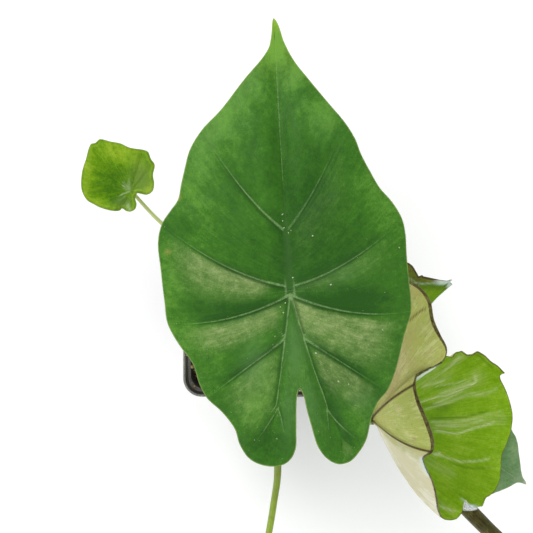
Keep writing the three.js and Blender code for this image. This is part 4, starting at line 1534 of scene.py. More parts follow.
# Margin of the young blade about its stalk's top: x, y and z
YOUNG_MARGIN = np.array([
    (3.3, -1.1, 0.6), (8.2, -1.8, 1.8), (10.9, -0.1, 2.6), (11.6, 3.3, 1.6), (11.1, 7.7, 2.8), (11.9, 12.6, 2),
    (10.1, 15.5, 3.2), (8.7, 18.9, 2.4), (6.7, 19.9, 2), (-0.1, 20.9, 3.4), (-5, 23.1, 2.2), (-9.8, 24, 2.8),
    (-14.7, 25, 3.2), (-17.1, 23.3, 2.2), (-19.1, 22.8, 1.6), (-20.1, 20.9, 2.2), (-21.5, 15, 3.2),
    (-22.7, 12.1, 2.4), (-23.5, 7.7, 3), (-23.5, 0.4, 3.6), (-21, -4.5, 2.6), (-17.1, -6.9, 2.2),
    (-14.7, -8.1, 2.8), (-8.4, -9.8, 2.2), (-5.4, -9.6, 1.2), (-4, -8.6, 0.6), (-2, -9.8, 1.6), (0.4, -10.1, 3),
    (2.4, -8.9, 3.8), (3.1, -6.4, 3.2), (2.4, -3.5, 1.4),
])
# Rim of the cupped blade about its stalk's top: up the far wall from its lowest point, round the curled tip,
# over the fold and back down the near wall
CUP_RIM = np.array([
    (32.1, -46.1, 6), (38, -46.6, 3), (41.1, -43.6, 1), (42.5, -38.7, -1), (46.8, -41.5, -4), (51.4, -41.8, -6),
    (53.5, -38.3, -8), (57.6, -35.7, -10), (60.9, -29.4, -13), (62.2, -19.2, -16), (66.5, -9.4, -19),
    (67.9, 0.1, -20), (65.1, 10.8, -19), (61.3, 19.2, -16), (62.6, 21.2, -15), (55.8, 27.1, -11),
    (50.1, 31.2, -7), (45.4, 29.9, -4), (40.3, 31.9, -1), (35.2, 29.3, 3), (29.1, 34.3, 8), (24.8, 44.7, 13),
    (25.2, 56.4, 17), (31.9, 62.4, 21), (33.5, 64.7, 23), (28.7, 65.6, 25), (22.1, 67, 27), (18.4, 67.9, 28),
    (15, 72.4, 30), (11.7, 73.8, 32), (7.5, 72, 34), (8.2, 68.4, 36), (13.5, 65.3, 38), (18.3, 62.1, 39),
    (22.2, 56.8, 40), (23.9, 47.9, 41), (26.5, 41.7, 42), (29.6, 35, 42), (28.4, 30, 41), (22.3, 26.4, 39),
    (17.1, 22.9, 37), (16.1, 19, 36), (17.5, 12, 38), (21.3, 2.7, 40), (24.2, -6.4, 38), (24, -11.1, 36),
    (20.3, -14.7, 32), (21.4, -19, 30), (24.9, -25.9, 26), (27.5, -34.1, 19), (29.1, -41.1, 12),
], float)
# Width of the brown edge in millimetres by margin position, below 0 where the edge stays pale
CUP_BROWN = np.array([
    (0, 0.1), (2, 0.15), (3, -0.5), (4.6, -0.5), (5.5, 0.25), (8, 0.15), (12, 0.2), (14, 0.4), (16, 0.6),
    (17.5, 0.5), (18.5, 0.2), (21, 0.1), (22.2, 0.7), (27, 0.8), (29, 0.8), (31, 0.5), (32, 0.9), (33, 1.0),
    (34.5, 1.2), (35.6, 1.3), (36.4, 0.8), (37.2, 0.3), (39, 0.3), (40, 0.5), (41, 0.9), (43, 1.5), (44.6, 1.3),
    (45.6, 0.8), (46.6, 0.3), (48, 0.55), (49, 0.75), (50.3, 0.6), (52, 0.1),
])
# Crease of the curled tip, seen from above: x and y
CUP_CREASE = np.array([(10, 67.5), (14.6, 66.2), (18.2, 64.0), (28.7, 64.6), (33, 65.4)])
# Outline of the fold in the cupped blade's notch, about its middle
FOLD_MARGIN = np.array([
    (-1.3, 3.0, 0.5), (0.6, 1.9, -0.2), (2.8, 0.6, -1.3), (5.4, -1.0, -2.3), (3.4, -1.9, -1.7), (0.6, -1.9, -0.9),
    (-1.7, -1.6, -0.3), (-2.1, 0.4, 0.2),
])
# Middle of the cup, and how far its walls bulge away from it by axis
CUP_CENTRE = np.array((37.0, 10.0, 12.0))
CUP_BELLY = np.array((0.2, 0.2, 0.5))
# Apex of the curled tip, how far the rows round it lean in below it, and how wide they do
CUP_APEX = np.array((33.5, 64.7, 23.0))
CUP_TUCK = np.array((-4.5, 3.5, 0.0))
CUP_TUCK_WIDTH = 7.0
# The rim's hooks, prongs and nicks: margin position, width in margin points, and how far the rim moves
CUP_TEETH = ((13.95, 0.16, (0.9, -0.4, 0.0)), (23.67, 0.12, (0.7, -0.5, 0.0)), (24.0, 0.1, (-1.0, -0.2, 0.0)),
             (24.28, 0.1, (1.3, 0.9, 0.0)), (26.6, 0.14, (0.1, 0.5, 0.0)), (27.0, 0.16, (-0.1, -0.5, 0.0)))


@dataclass(frozen=True)
class Stroke:
    """A brushed line on a fan-shaped blade, through places given as margin position and step."""

    places: tuple[tuple[float, float], ...]
    width: float
    strength: float = 1.0


@dataclass
class FanBlade(Blade):
    """A blade whose rows all spring from its stalk's top, like a fan bent round it."""

    margin: Array = field(default_factory=lambda: YOUNG_MARGIN)
    veins: dict[int, float] = field(default_factory=dict)
    rows_per_point: int = 8
    steps: int = 26
    step_crowding: float = 0.35
    streaks: tuple[Stroke, ...] = ()
    smears: tuple[Stroke, ...] = ()
    shades: tuple[Stroke, ...] = ()
    marks: tuple[Stroke, ...] = ()

    def bend(self, edge: Array) -> Array:
        """How far the middle of each row leans off the straight line to its edge point."""
        return np.broadcast_to(np.array((0, 0, -1.2)), edge.shape)

    def line(self, positions: Array, out: Array) -> Array:
        """Places by row and step.

        Args:
            positions: the rows' margin positions.
            out: steps along each row.

        Returns:
            Places in the blade's own frame.
        """
        edge = through(self.margin, positions, closed=True)
        middle = edge / 2 + self.bend(edge)
        return bezier(np.zeros(3), middle[:, None], edge[:, None], out[None, :, None])

    def fan(self) -> tuple[Array, Array, Array, Array]:
        """Works out the sheet.

        Returns:
            Its points, point numbers by row, and each point's margin position and step.
        """
        positions = np.arange(len(self.margin) * self.rows_per_point) / self.rows_per_point
        out = crowded(self.steps, self.step_crowding)
        grid = self.line(positions, out)
        count = len(positions)
        index = np.zeros((count, self.steps + 1), int)
        index[:, 1:] = 1 + np.arange(count * self.steps).reshape(count, self.steps)
        sheet = np.vstack([np.zeros((1, 3)), grid[:, 1:].reshape(-1, 3)])
        row = np.concatenate([[0.0], np.repeat(positions, self.steps)])
        step = np.concatenate([[0.0], np.tile(out[1:], count)])
        return sheet, index, row, step

    def measured(self, sheet: Array, row: Array, step: Array) -> dict[str, Array]:
        """The numbers that any fan's finish reads at each point.

        Args:
            sheet: the sheet's points.
            row: margin position of each point's row.
            step: step along the row.

        Returns:
            Numbers by name.
        """
        count = len(self.margin)
        gap, show = np.full(len(sheet), NO_VEIN), np.zeros(len(sheet))
        for vein, strength in self.veins.items():
            away = np.abs(row - vein)
            near = (np.minimum(away, count - away) < 4) | (np.arange(len(sheet)) == 0)
            distance = gap_to_line(sheet[near], self.line(np.array([float(vein)]), np.linspace(0, 1, 40))[0])
            better = distance < gap[near]
            chosen = np.flatnonzero(near)[better]
            gap[chosen] = distance[better]
            show[chosen] = strength
        edge = through(self.margin, np.linspace(0, count, count * 8 + 1), closed=True)
        return {Stored.ROW: row, Stored.OUT: step, Stored.VEIN_GAP: gap, Stored.VEIN_SHOW: show,
                Stored.EDGE_GAP: gap_to_line(sheet, edge), Stored.STREAK: self.brushed(self.streaks, sheet),
                Stored.SHADE: self.brushed(self.shades, sheet), Stored.SMEAR: self.brushed(self.smears, sheet),
                Stored.MARK: self.brushed(self.marks, sheet)}

    def brushed(self, strokes: tuple[Stroke, ...], sheet: Array) -> Array:
        """How strongly strokes cover each point.

        Args:
            strokes: the strokes.
            sheet: the sheet's points.

        Returns:
            Numbers from 0 to 1.
        """
        total = np.zeros(len(sheet))
        for stroke in strokes:
            rows, steps = np.array(stroke.places, float).T
            spots = np.linspace(0, len(rows) - 1, 30)
            rows, steps = (np.interp(spots, np.arange(len(rows)), numbers) for numbers in (rows, steps))
            line = np.array([self.line(np.array([r]), np.array([o]))[0, 0] for r, o in zip(rows, steps)])
            total = np.maximum(total, stroke.strength * bell(gap_to_line(sheet, line), stroke.width))
        return total

    @staticmethod
    def closeness(row: Array, first: float, last: float, soft: float = 0.6) -> Array:
        """1 on rows from first to last, easing to 0 beyond them."""
        return window(row, (first - soft, first + soft), (last - soft, last + soft))


# Soft ovals on the young blade: its painted grey sheen, and where it is lighter and darker
YOUNG_PAINTED_SHEEN = ovals((5.5, 6, 6, 10, 0, 0.9), (-3, -6, 6, 3, 20, 0.75), (1, 1, 4, 4, 0, 0.6))
YOUNG_LIGHT = ovals((-4, 18, 10, 5, -15, 0.5), (-21, 12, 3, 14, 0, 0.4), (9, 0, 3, 3, 0, 0.6),
                    (-16, -5, 7, 3, -20, 0.3), (-21, 0, 3, 5, 0, 0.4))
YOUNG_DARK = ovals((-9, 3, 9, 8, 0, 0.4), (-8, -4, 9, 3, -10, 0.45))


@dataclass
class YoungBlade(FanBlade):
    """The young leaf's round, lightly cupped blade."""

    finish: YoungLeafFinish = field(default_factory=YoungLeafFinish)

    def build(self) -> Piece:
        """Builds and dresses the blade.

        Returns:
            The blade.
        """
        sheet, index, row, step = self.fan()
        stored = self.measured(sheet, row, step)
        gap, show, edge_gap = stored[Stored.VEIN_GAP], stored[Stored.VEIN_SHOW], stored[Stored.EDGE_GAP]
        x, y = sheet[:, 0], sheet[:, 1]
        stored[Stored.BLOOM] = covered(YOUNG_PAINTED_SHEEN, x, y)
        stored[Stored.TONE] = 0.42 + covered(YOUNG_LIGHT, x, y) - covered(YOUNG_DARK, x, y)
        sheet[:, 2] += 0.5 * np.sin(np.pi * np.clip(gap / 5, 0, 1)) * step * eased(edge_gap, 0, 3)
        sheet[:, 2] += 0.35 * np.sin(2 * np.pi * row / 2.2) * eased(step, 0.7, 1.0)
        half = self.thickness / 2 * (0.4 + 0.6 * eased(edge_gap, 0, 1.6))
        lift = half - 0.2 * bell(gap, 0.8) * show * eased(edge_gap, 0, 2)
        drop = half + 0.5 * (1 - step) * show * bead(gap, 0.8)
        return self.solid(sheet, index, lift, drop, stored, self.finish.build())


# Soft ovals on the cupped blade: where its near wall is lighter, and where it is tan
CUP_LIGHT = ovals((22, 44, 5, 16, -15, 0.2), (24, 0, 7, 9, 0, 0.3))
CUP_TAN = ovals((8, 24, 4, 17, -15, 1.0), (13, 28.6, 4, 4, 0, 0.6), (13, 13, 5, 7, 0, 0.7), (15, 62, 5, 5, 0, 0.4),
                (20, 20, 5, 8, 20, 0.35))


@dataclass
class CupBlade(FanBlade):
    """The cupped leaf's blade: its near wall shows its underside, its far wall its upper face."""

    finish: CupLeafFinish = field(default_factory=CupLeafFinish)

    def bend(self, edge: Array) -> Array:
        """Leans the middle of each row away from the middle of the cup, and in below the curled tip."""
        tucked = bell(np.linalg.norm(edge - CUP_APEX, axis=1), CUP_TUCK_WIDTH)
        return (edge - CUP_CENTRE) * CUP_BELLY + tucked[:, None] * CUP_TUCK

    def build(self) -> Piece:
        """Builds and dresses the blade.

        Returns:
            The blade.
        """
        sheet, index, row, step = self.fan()
        stored = self.measured(sheet, row, step)
        gap, show, edge_gap = stored[Stored.VEIN_GAP], stored[Stored.VEIN_SHOW], stored[Stored.EDGE_GAP]
        far, near = self.closeness(row, 1, 20), self.closeness(row, 29.5, 46, 0.5)
        stored |= self.zones(sheet, row, step)

        stroke = stored[Stored.STREAK]
        pleat = 0.4 * np.cos(2 * np.pi * row * 0.6) * eased(step, 0.3, 0.95) * far + 0.8 * stroke * far
        out = corner_normals(sheet, self.quads(index))
        sheet = sheet + out * (pleat * eased(edge_gap, 0.0, 4.0))[:, None]
        for place, width, move in CUP_TEETH:
            tooth = bell(row - place, width) * step**6
            sheet = sheet + tooth[:, None] * np.array(move)
        scallop = 0.35 * np.sin(2 * np.pi * row * 1.35 + 1.1 * np.sin(row)) * far * eased(-edge_gap, -1.2, 0.0)
        sheet = sheet + out * scallop[:, None]
        thick_rim = 0.5 * near * bead(edge_gap / 1.3 - 0.3, 1)
        half = self.thickness / 2 * (0.45 + 0.55 * eased(edge_gap, 0, 1.8))
        lift = half + 0.16 * bell(gap, 0.5) * show * eased(edge_gap, 0, 2) + thick_rim * 0.6
        swell = self.rib * (1 - 0.75 * step) * show * bead(gap, 1.2)
        drop = half + np.maximum(swell * eased(edge_gap, 0, 2), thick_rim)
        return self.solid(sheet, index, lift, drop, stored, self.finish.build())

    def zones(self, sheet: Array, row: Array, step: Array) -> dict[str, Array]:
        """Where the blade changes colour.

        Args:
            sheet: the sheet's points.
            row: margin position of each point's row.
            step: step along the row.

        Returns:
            Numbers by name.
        """
        x, y = sheet[:, 0], sheet[:, 1]
        crease = np.interp(x, *CUP_CREASE.T)
        tip_rows = self.closeness(row, 22, 31, 0.3)
        # Past the crease the curled tip is painted dark olive as shade; tip_shade is painted shade below it.
        above = eased(y, crease - 0.2, crease + 0.2) * tip_rows
        tip_shade = (0.4 + 0.5 * eased(y, 60, 63)) * tip_rows * (1 - above)
        pale_tip = np.maximum(eased(x, 23.5, 29) * eased(y, 63.0, 64.4), eased(x, 30.8, 32.4)) * tip_rows
        # Painted highlight along the lower rim.
        low_rim = self.closeness(row, 45.8, 47.6, 0.3) * eased(step, 0.9, 0.97)
        notch = self.closeness(row, 3.0, 4.6, 0.3) * eased(step, 0.93, 0.98)
        top = self.closeness(row, 30, 40.5, 0.5)
        tone = (0.5 + 0.3 * self.closeness(row, 41.2, 44.8, 0.5) * eased(step, 0.25, 0.6)
                + covered(CUP_LIGHT, x, y) * top - 0.25 * self.closeness(row, 6, 12) * (1 - eased(step, 0.4, 0.6)))
        cream = [self.closeness(row, 46.1, 51.5, 0.4), notch, self.closeness(row, 45.2, 46.4, 0.3) * 0.6]
        # Painted highlights on the crease and the lower rim, with the pale tip and the pale notch.
        glint_and_pale = [bell(y - crease, 0.35) * tip_rows * 0.45, pale_tip * 0.95, low_rim, notch * 0.7]
        return {
            Stored.TONE: tone, Stored.SHADED_TIP: above * 0.95, Stored.TAN: covered(CUP_TAN, x, y) * top,
            Stored.CREAM: np.maximum.reduce(cream), Stored.GLINT_AND_PALE: np.maximum.reduce(glint_and_pale),
            Stored.SHADE: np.maximum(self.brushed(self.shades, sheet), tip_shade),
            Stored.BROWN: np.interp(row, *CUP_BROWN.T) * (1 - pale_tip),
            # Painted highlight on the inner face just inside the near rim.
            Stored.BLOOM: self.closeness(row, 36.4, 39.6, 0.5) * eased(step, 0.5, 0.65),
        }


@dataclass(frozen=True)
class FoldFinish:
    """The pale dry underside of a folded leaf edge."""

    name: str = "pale_fold"
    pale: RGBA = linear(226, 230, 230)
    shade: RGBA = linear(128, 138, 148)
    edge: RGBA = linear(150, 150, 124)
    roughness: float = 0.5
    depth: float = 0.2
    gloss: float = 0.2

    def build(self) -> Skin:
        """Writes the material's nodes.

        Returns:
            The material.
        """
        paint = Paint(self.name)
        brush = paint.strands(1.2, 3.0, 3.0, 0.5) + 0.5
        fine = paint.spots(1.6, 3.0, 0.6)
        coat = Coat(paint, self.pale)
        coat.lay(self.shade, paint.smooth(brush + fine * 0.4, 0.62, 0.86) * 0.8)
        coat.lay(self.edge, paint.smooth(paint.stored(Stored.EDGE_GAP), 0.5, 0.1) * 0.6)
        roughness = self.roughness + fine * 0.1
        return paint.finish(coat.colour, roughness, brush * 0.6 + fine * 0.3, self.depth, self.gloss)


@dataclass
class Fold(FanBlade):
    """The bit of the cupped blade's edge that is folded back in its notch."""

    finish: FoldFinish = field(default_factory=FoldFinish)

    def build(self) -> Piece:
        """Builds and dresses the fold.

        Returns:
            The fold.
        """
        sheet, index, row, step = self.fan()
        stored = self.measured(sheet, row, step)
        edge_gap = stored[Stored.EDGE_GAP]
        sheet[:, 2] += 0.25 * np.sin(sheet[:, 0] * 1.1) * eased(edge_gap, 0, 1)
        half = self.thickness / 2 * (0.4 + 0.6 * eased(edge_gap, 0, 0.8))
        return self.solid(sheet, index, half, half, stored, self.finish.build())


# ---- Stalks and stem ----


@dataclass
class Stalk:
    """A leaf stalk, grown along its centre line with a slim foot, a flare above it and a slim top."""

    name: str
    route: tuple[Triple, ...]
    base: float
    top: float
    neck: float
    finish: StalkFinish
    ridge: float = 0.1
    ridges: float = 11.0
    narrowing: float = 2.2
    foot_share: float = 0.4
    foot_reach: float = 14.0
    seat_swell: float = 0.35
    seat_reach: float = 5.0
    seat_depth: float = 0.25
    sides: int = 40
    rings: int = 120
    length: float = field(init=False, default=0.0)

    def centre_line(self, blade: Blade) -> Array:
        """Evenly spaced places from the stem to the blade's underside.

        Args:
            blade: the blade that the stalk carries, already built.

        Returns:
            Places in millimetres.
        """
        ends = [blade.seat - self.neck * blade.facing, blade.seat + self.seat_depth * blade.facing]
        points = np.array([*self.route, *ends], float)
        dense = through(points, np.linspace(0, len(points) - 1, 800), closed=False)
        reach = np.concatenate([[0], np.cumsum(np.linalg.norm(np.diff(dense, axis=0), axis=1))])
        self.length = float(reach[-1])
        wanted = np.linspace(0, self.length, self.rings + 1)
        return np.stack([np.interp(wanted, reach, dense[:, k]) for k in range(3)], axis=1)

    def radii(self) -> Array:
        """Radius at each ring.

        Returns:
            Radii in millimetres.
        """
        part = np.linspace(0, 1, self.rings + 1)
        reach = part * self.length
        flare = self.top + (self.base - self.top) * (1 - part) ** self.narrowing
        foot = self.foot_share + (1 - self.foot_share) * eased(reach, 0, self.foot_reach)
        return flare * foot * (1 + self.seat_swell * eased(reach, self.length - self.seat_reach, self.length))

    def seedling(self, blade: Blade) -> Piece:
        """The centre line as a curve object that holds the radii.

        Args:
            blade: the blade that the stalk carries.

        Returns:
            The curve object.
        """
        places = self.centre_line(blade)
        curve = bpy.data.curves.new(f"{self.name}_line", "CURVE")
        curve.dimensions = "3D"
        spline = curve.splines.new("POLY")
        spline.points.add(len(places) - 1)
        for point, place, radius in zip(spline.points, places, self.radii()):
            point.co = (*(place * MM), 1.0)
            point.radius = float(radius)
        made = bpy.data.objects.new(f"{self.name}_line", curve)
        bpy.context.collection.objects.link(made)
        return made

    def build(self, blade: Blade) -> Piece:
        """Grows the stalk up to its blade.

        Args:
            blade: the blade that the stalk carries, already built.

        Returns:
            The stalk.
        """
        growth = Growth(f"{self.name}_tree", {"Sides": ("Int", 24), "Ridge Depth": ("Float", 0.1),
                                              "Ridges": ("Float", 9.0), "Skin": ("Material", None)})
        marked = self.marked(growth, growth.size("Geometry"), Stored.ALONG)
        ring = growth.node("GeometryNodeCurvePrimitiveCircle", None,
                           {"Resolution": growth.size("Sides"), "Radius": MM})
        marked_ring = self.marked(growth, ring.outputs[0], Stored.AROUND)
        radius = growth.node("GeometryNodeInputRadius").outputs[0]
        tube = growth.node("GeometryNodeCurveToMesh", None, {
            "Curve": marked, "Profile Curve": marked_ring, "Scale": radius, "Fill Caps": True})
        turn = growth.value(growth.node("GeometryNodeInputNamedAttribute", {"data_type": "FLOAT"},
                                        {"Name": Stored.AROUND.value}))
        wave = growth.maths("COSINE", turn * growth.size("Ridges") * (2 * math.pi))
        lump = growth.noise(growth.value(growth.node("GeometryNodeInputPosition")), 90.0, 2.0) - 0.5
        push = (wave * 0.5 + lump * 2.0) * growth.size("Ridge Depth") * MM
        normal = growth.node("GeometryNodeInputNormal").outputs["Normal"]
        offset = growth.node("ShaderNodeVectorMath", {"operation": "SCALE"}, {0: normal, "Scale": push})
        moved = growth.node("GeometryNodeSetPosition", None,
                            {"Geometry": tube.outputs[0], "Offset": offset.outputs[0]})
        smooth = growth.node("GeometryNodeSetShadeSmooth", None, {"Geometry": moved.outputs[0]})
        values = {"Sides": self.sides, "Ridge Depth": self.ridge, "Ridges": self.ridges, "Skin": self.finish.build()}
        return growth.grow(self.seedling(blade), smooth.outputs[0], values, self.name)

    @staticmethod
    def marked(growth: Growth, curve: bpy.types.NodeSocket | Value, name: Stored) -> bpy.types.NodeSocket:
        """Stores how far along a curve each of its points lies.

        Args:
            growth: the stalk's tree.
            curve: the curve.
            name: the name to store it under.

        Returns:
            The curve with the numbers.
        """
        along = growth.node("GeometryNodeSplineParameter").outputs["Factor"]
        kept = growth.node("GeometryNodeStoreNamedAttribute", {"data_type": "FLOAT", "domain": "POINT"},
                           {"Geometry": curve, "Name": name.value, "Value": along})
        return kept.outputs[0]


# The stem's outline: radius and height
STEM_PROFILE = np.array([(7, 46), (11, 49), (13, 58), (13.6, 70), (13.2, 82), (11.8, 92), (9.4, 101), (6, 107)],
                        float)


@dataclass
class Stem:
    """The short stem, with ring scars where old leaves were."""

    foot: float = 45.0
    peak: float = 109.0
    sides: int = 96
    rings: int = 140
    scars: tuple[float, ...] = (79.5, 83.0, 87.5, 93.0, 98.0)
    finish: StemFinish = field(default_factory=StemFinish)

    def radius(self, height: Array) -> Array:
        """Radius at each height."""
        outline = np.vstack([[1.0, self.foot], STEM_PROFILE, [2.0, self.peak]])
        return np.interp(height, outline[:, 1], outline[:, 0])

    def build(self) -> Piece:
        """Builds and dresses the stem.

        Returns:
            The stem.
        """
        height = np.linspace(self.foot, self.peak, self.rings + 1)
        angle = np.arange(self.sides) / self.sides * 2 * np.pi
        h, a = np.meshgrid(height, angle, indexing="ij")
        radius = self.radius(h)
        for number, scar in enumerate(self.scars):
            above = h - scar - 0.9 * np.sin(a + 2.1 * number)
            radius += 0.3 * bell(above - 1.0, 0.7) - 0.5 * bell(above, 0.45)
        radius += 0.12 * np.sin(a * 17 + 0.3 * h) + 0.1 * np.sin(a * 31 - 0.5 * h)
        radius = np.minimum(radius, self.radius(h) + 0.25)
        rings = np.stack([radius * np.cos(a), radius * np.sin(a), h], axis=2)
        points, faces = loft(rings)
        along = (points[:, 2] - self.foot) / (self.peak - self.foot)
        return make_piece("stem_crown", points, faces, self.finish.build(), {Stored.ALONG: along})


def loft(rings: Array) -> tuple[Array, list[list[int]]]:
    """Joins rings of equal length into a closed body.

    Args:
        rings: places by ring and point, each ring counter-clockwise seen from the last ring's side.

    Returns:
        Points and faces.
    """
    levels, count = rings.shape[:2]
    points = np.vstack([rings.reshape(-1, 3), rings[0].mean(axis=0), rings[-1].mean(axis=0)])
    faces = []
    for ring in range(levels - 1):
        for i in range(count):
            after = (i + 1) % count
            low, high = ring * count, (ring + 1) * count
            faces.append([low + i, low + after, high + after, high + i])
    foot, head, last = levels * count, levels * count + 1, (levels - 1) * count
    for i in range(count):
        after = (i + 1) % count
        faces.append([foot, after, i])
        faces.append([head, last + i, last + after])
    return points, faces


# ---- Pot and what fills it ----


def rounded_square(half: float, corner: float, z: float, corner_steps: int = 14, side_steps: int = 10) -> Array:
    """A square with round corners, counter-clockwise from above.

    Args:
        half: half its width.
        corner: its corner radius.
        z: its height.
        corner_steps: steps round each corner.
        side_steps: steps along each side.

    Returns:
        Places in millimetres.
    """
    inner = half - corner
    angle = np.linspace(0, np.pi / 2, corner_steps + 1)
    arc = np.stack([inner + corner * np.cos(angle), inner + corner * np.sin(angle)], axis=1)
    side = np.stack([inner - 2 * inner * np.arange(1, side_steps) / side_steps,
                     np.full(side_steps - 1, half)], axis=1)
    quarter = np.vstack([arc, side])
    turns = [quarter @ np.array([[math.cos(t), math.sin(t)], [-math.sin(t), math.cos(t)]])
             for t in (0, math.pi / 2, math.pi, 3 * math.pi / 2)]
    flat = np.vstack(turns)
    return np.column_stack([flat, np.full(len(flat), z)])


@dataclass
class Pot:
    """The square nursery pot, open at the top, with a grooved rim and four drain holes."""

    height: float = 90.0
    rim_half: float = 52.5
    top_half: float = 49.5
    base_half: float = 38.0
    wall: float = 1.4
    floor: float = 2.0
    band: float = 14.0
    corner_top: float = 9.0
    corner_base: float = 7.0
    lip: float = 1.3
    groove_width: float = 1.3
    groove_depth: float = 1.6
    drain_radius: float = 4.0
    drain_offset: float = 24.0
    crease: float = 38.0
    finish: PotFinish = field(default_factory=PotFinish)

    def half(self, z: float) -> float:
        """Half width of the outer wall below the rim band."""
        return self.base_half + (self.top_half - self.base_half) * z / self.height

    def corner(self, z: float) -> float:
        """Corner radius of the outer wall."""
        return self.corner_base + (self.corner_top - self.corner_base) * z / self.height

    def inner(self, z: float, clearance: float = 0.0) -> tuple[float, float]:
        """Half width and corner radius inside the wall."""
        inset = self.wall + clearance
        return self.half(z) - inset, self.corner(z) - inset

    def sections(self) -> list[tuple[float, float, float, float]]:
        """The outline from the underside up, over the rim and down the inside.

        Returns:
            Half width, corner radius, height, and how much it is lightened as wear and painted highlight, for each
            section.
        """
        top, foot, rim = self.height, self.height - self.band, self.corner_top + 1
        outer, band = self.rim_half - self.lip, self.rim_half - 1
        inner, deep = outer - self.groove_width, top - self.groove_depth
        lip, groove = rim - self.lip, rim - self.lip - self.groove_width
        mouth, mouth_corner = self.inner(top)
        rows = [(self.base_half - inset, self.corner_base - inset, z, wear_and_highlight)
                for inset, z, wear_and_highlight in ((1.5, 0, 0), (0.8, 0.25, 0.3), (0.2, 0.85, 0.4), (0, 1.5, 0.1))]
        rows += [(self.half(z), self.corner(z), z, 0) for z in np.linspace(8, foot - 0.4, 12)]
        rows += [
            (self.half(foot) + 0.1, self.corner(foot), foot, 0), (band - 0.5, rim - 1.4, foot + 0.15, 0.2),
            (band - 0.1, rim - 1.1, foot + 0.5, 0.5), (band, rim - 1, foot + 1.0, 0.1), (band, rim - 1, top - 8, 0),
            (band, rim - 1, top - 3.2, 0), (band + 0.3, rim - 0.7, top - 2.5, 0),
            (band + 0.85, rim - 0.15, top - 2.1, 0.3), (self.rim_half, rim, top - 1.7, 0.6),
            (self.rim_half, rim, top - 0.7, 0.8), (self.rim_half - 0.12, rim - 0.12, top - 0.3, 1),
            (self.rim_half - 0.45, rim - 0.45, top, 1), (outer + 0.25, lip + 0.25, top, 0.9),
            (outer, lip, top - 0.2, 0.5), (outer - 0.15, lip, deep + 0.3, 0.3), (outer - 0.4, lip - 0.2, deep, 0.3),
            (inner + 0.4, groove + 0.2, deep, 0.3), (inner + 0.15, groove, deep + 0.3, 0.25),
            (inner, groove, top - 0.65, 0.25), (inner - 0.2, groove - 0.2, top - 0.4, 0.3),
            (mouth + 0.35, mouth_corner + 0.35, top - 0.4, 0.3), (mouth, mouth_corner, top - 0.8, 0.15),
        ]
        rows += [(*self.inner(z), z, 0) for z in np.linspace(top - 3, self.floor + 1.2, 12)]
        half, corner = self.inner(self.floor)
        rows += [(half - 0.4, corner - 0.3, self.floor + 0.3, 0), (half - 1.2, corner - 0.8, self.floor, 0)]
        return rows

    def build(self) -> Piece:
        """Builds and dresses the pot.

        Returns:
            The pot.
        """
        rows = self.sections()
        rings = np.array([rounded_square(half, corner, z) for half, corner, z, _ in rows])
        points, faces = loft(rings)
        wear_and_highlight = np.array([row[3] for row in rows])
        # How much each point is lightened, as wear, and on the rim's lips also as painted highlight.
        lip = np.concatenate([np.repeat(wear_and_highlight, rings.shape[1]), [0.0, 0.0]])
        in_corner = eased(np.abs(points[:, :2]).min(axis=1), 38, 43)
        lip *= np.where(lip < 0.45, 1 - 0.85 * in_corner, 1)
        pot = make_piece("nursery_pot", points, faces, self.finish.build(), {Stored.LIP: lip}, self.crease)
        for x, y in ((1, 1), (-1, 1), (-1, -1), (1, -1)):
            self.drill(pot, x * self.drain_offset, y * self.drain_offset)
        pot.data.set_sharp_from_angle(angle=math.radians(self.crease))
        return pot

    def drill(self, pot: Piece, x: float, y: float) -> None:
        """Cuts one drain hole with softened edges.

        Args:
            pot: the pot.
            x: the hole's centre.
            y: the hole's centre.
        """
        angle = np.arange(36) / 36 * 2 * np.pi
        rings = [np.column_stack([x + r * np.cos(angle), y + r * np.sin(angle), np.full(36, z)])
                 for r, z in ((self.drain_radius + 0.5, -0.5), (self.drain_radius + 0.5, 0.0),
                              (self.drain_radius, 0.4), (self.drain_radius, self.floor + 1))]
        points, faces = loft(np.array(rings))
        cutter = make_piece("drain_cutter", points, faces, pot.data.materials[0])
        cut = pot.modifiers.new("drain", "BOOLEAN")
        cut.operation, cut.solver, cut.object = "DIFFERENCE", "EXACT", cutter
        mesh = worked_out(pot)
        pot.modifiers.remove(cut)
        pot.data = mesh
        bpy.data.objects.remove(cutter)


def random_source(seed: int) -> Callable[[], float]:
    """Repeatable random numbers from 0 to 1, the same run that places the CAD's crumbs.

    Args:
        seed: where the run starts.

    Returns:
        A function that gives the next number.
    """
    state = seed
    whole = 0xFFFFFFFF

    def draw() -> float:
        """Moves the run on.

        Returns:
            The next number.
        """
        nonlocal state
        state = (state + 0x6D2B79F5) & whole
        mixed = ((state ^ (state >> 15)) * (1 | state)) & whole
        mixed = ((mixed + ((mixed ^ (mixed >> 7)) * (61 | mixed) & whole)) & whole) ^ mixed
        return (mixed ^ (mixed >> 14)) / 4294967296

    return draw


@dataclass(frozen=True)
class Grain:
    """A small bit set down on its own: its middle, half length, flatness and the way its flat side looks."""

    place: Triple
    size: float
    flat: float = 0.6
    facing: Triple = (0.0, 0.0, 1.0)


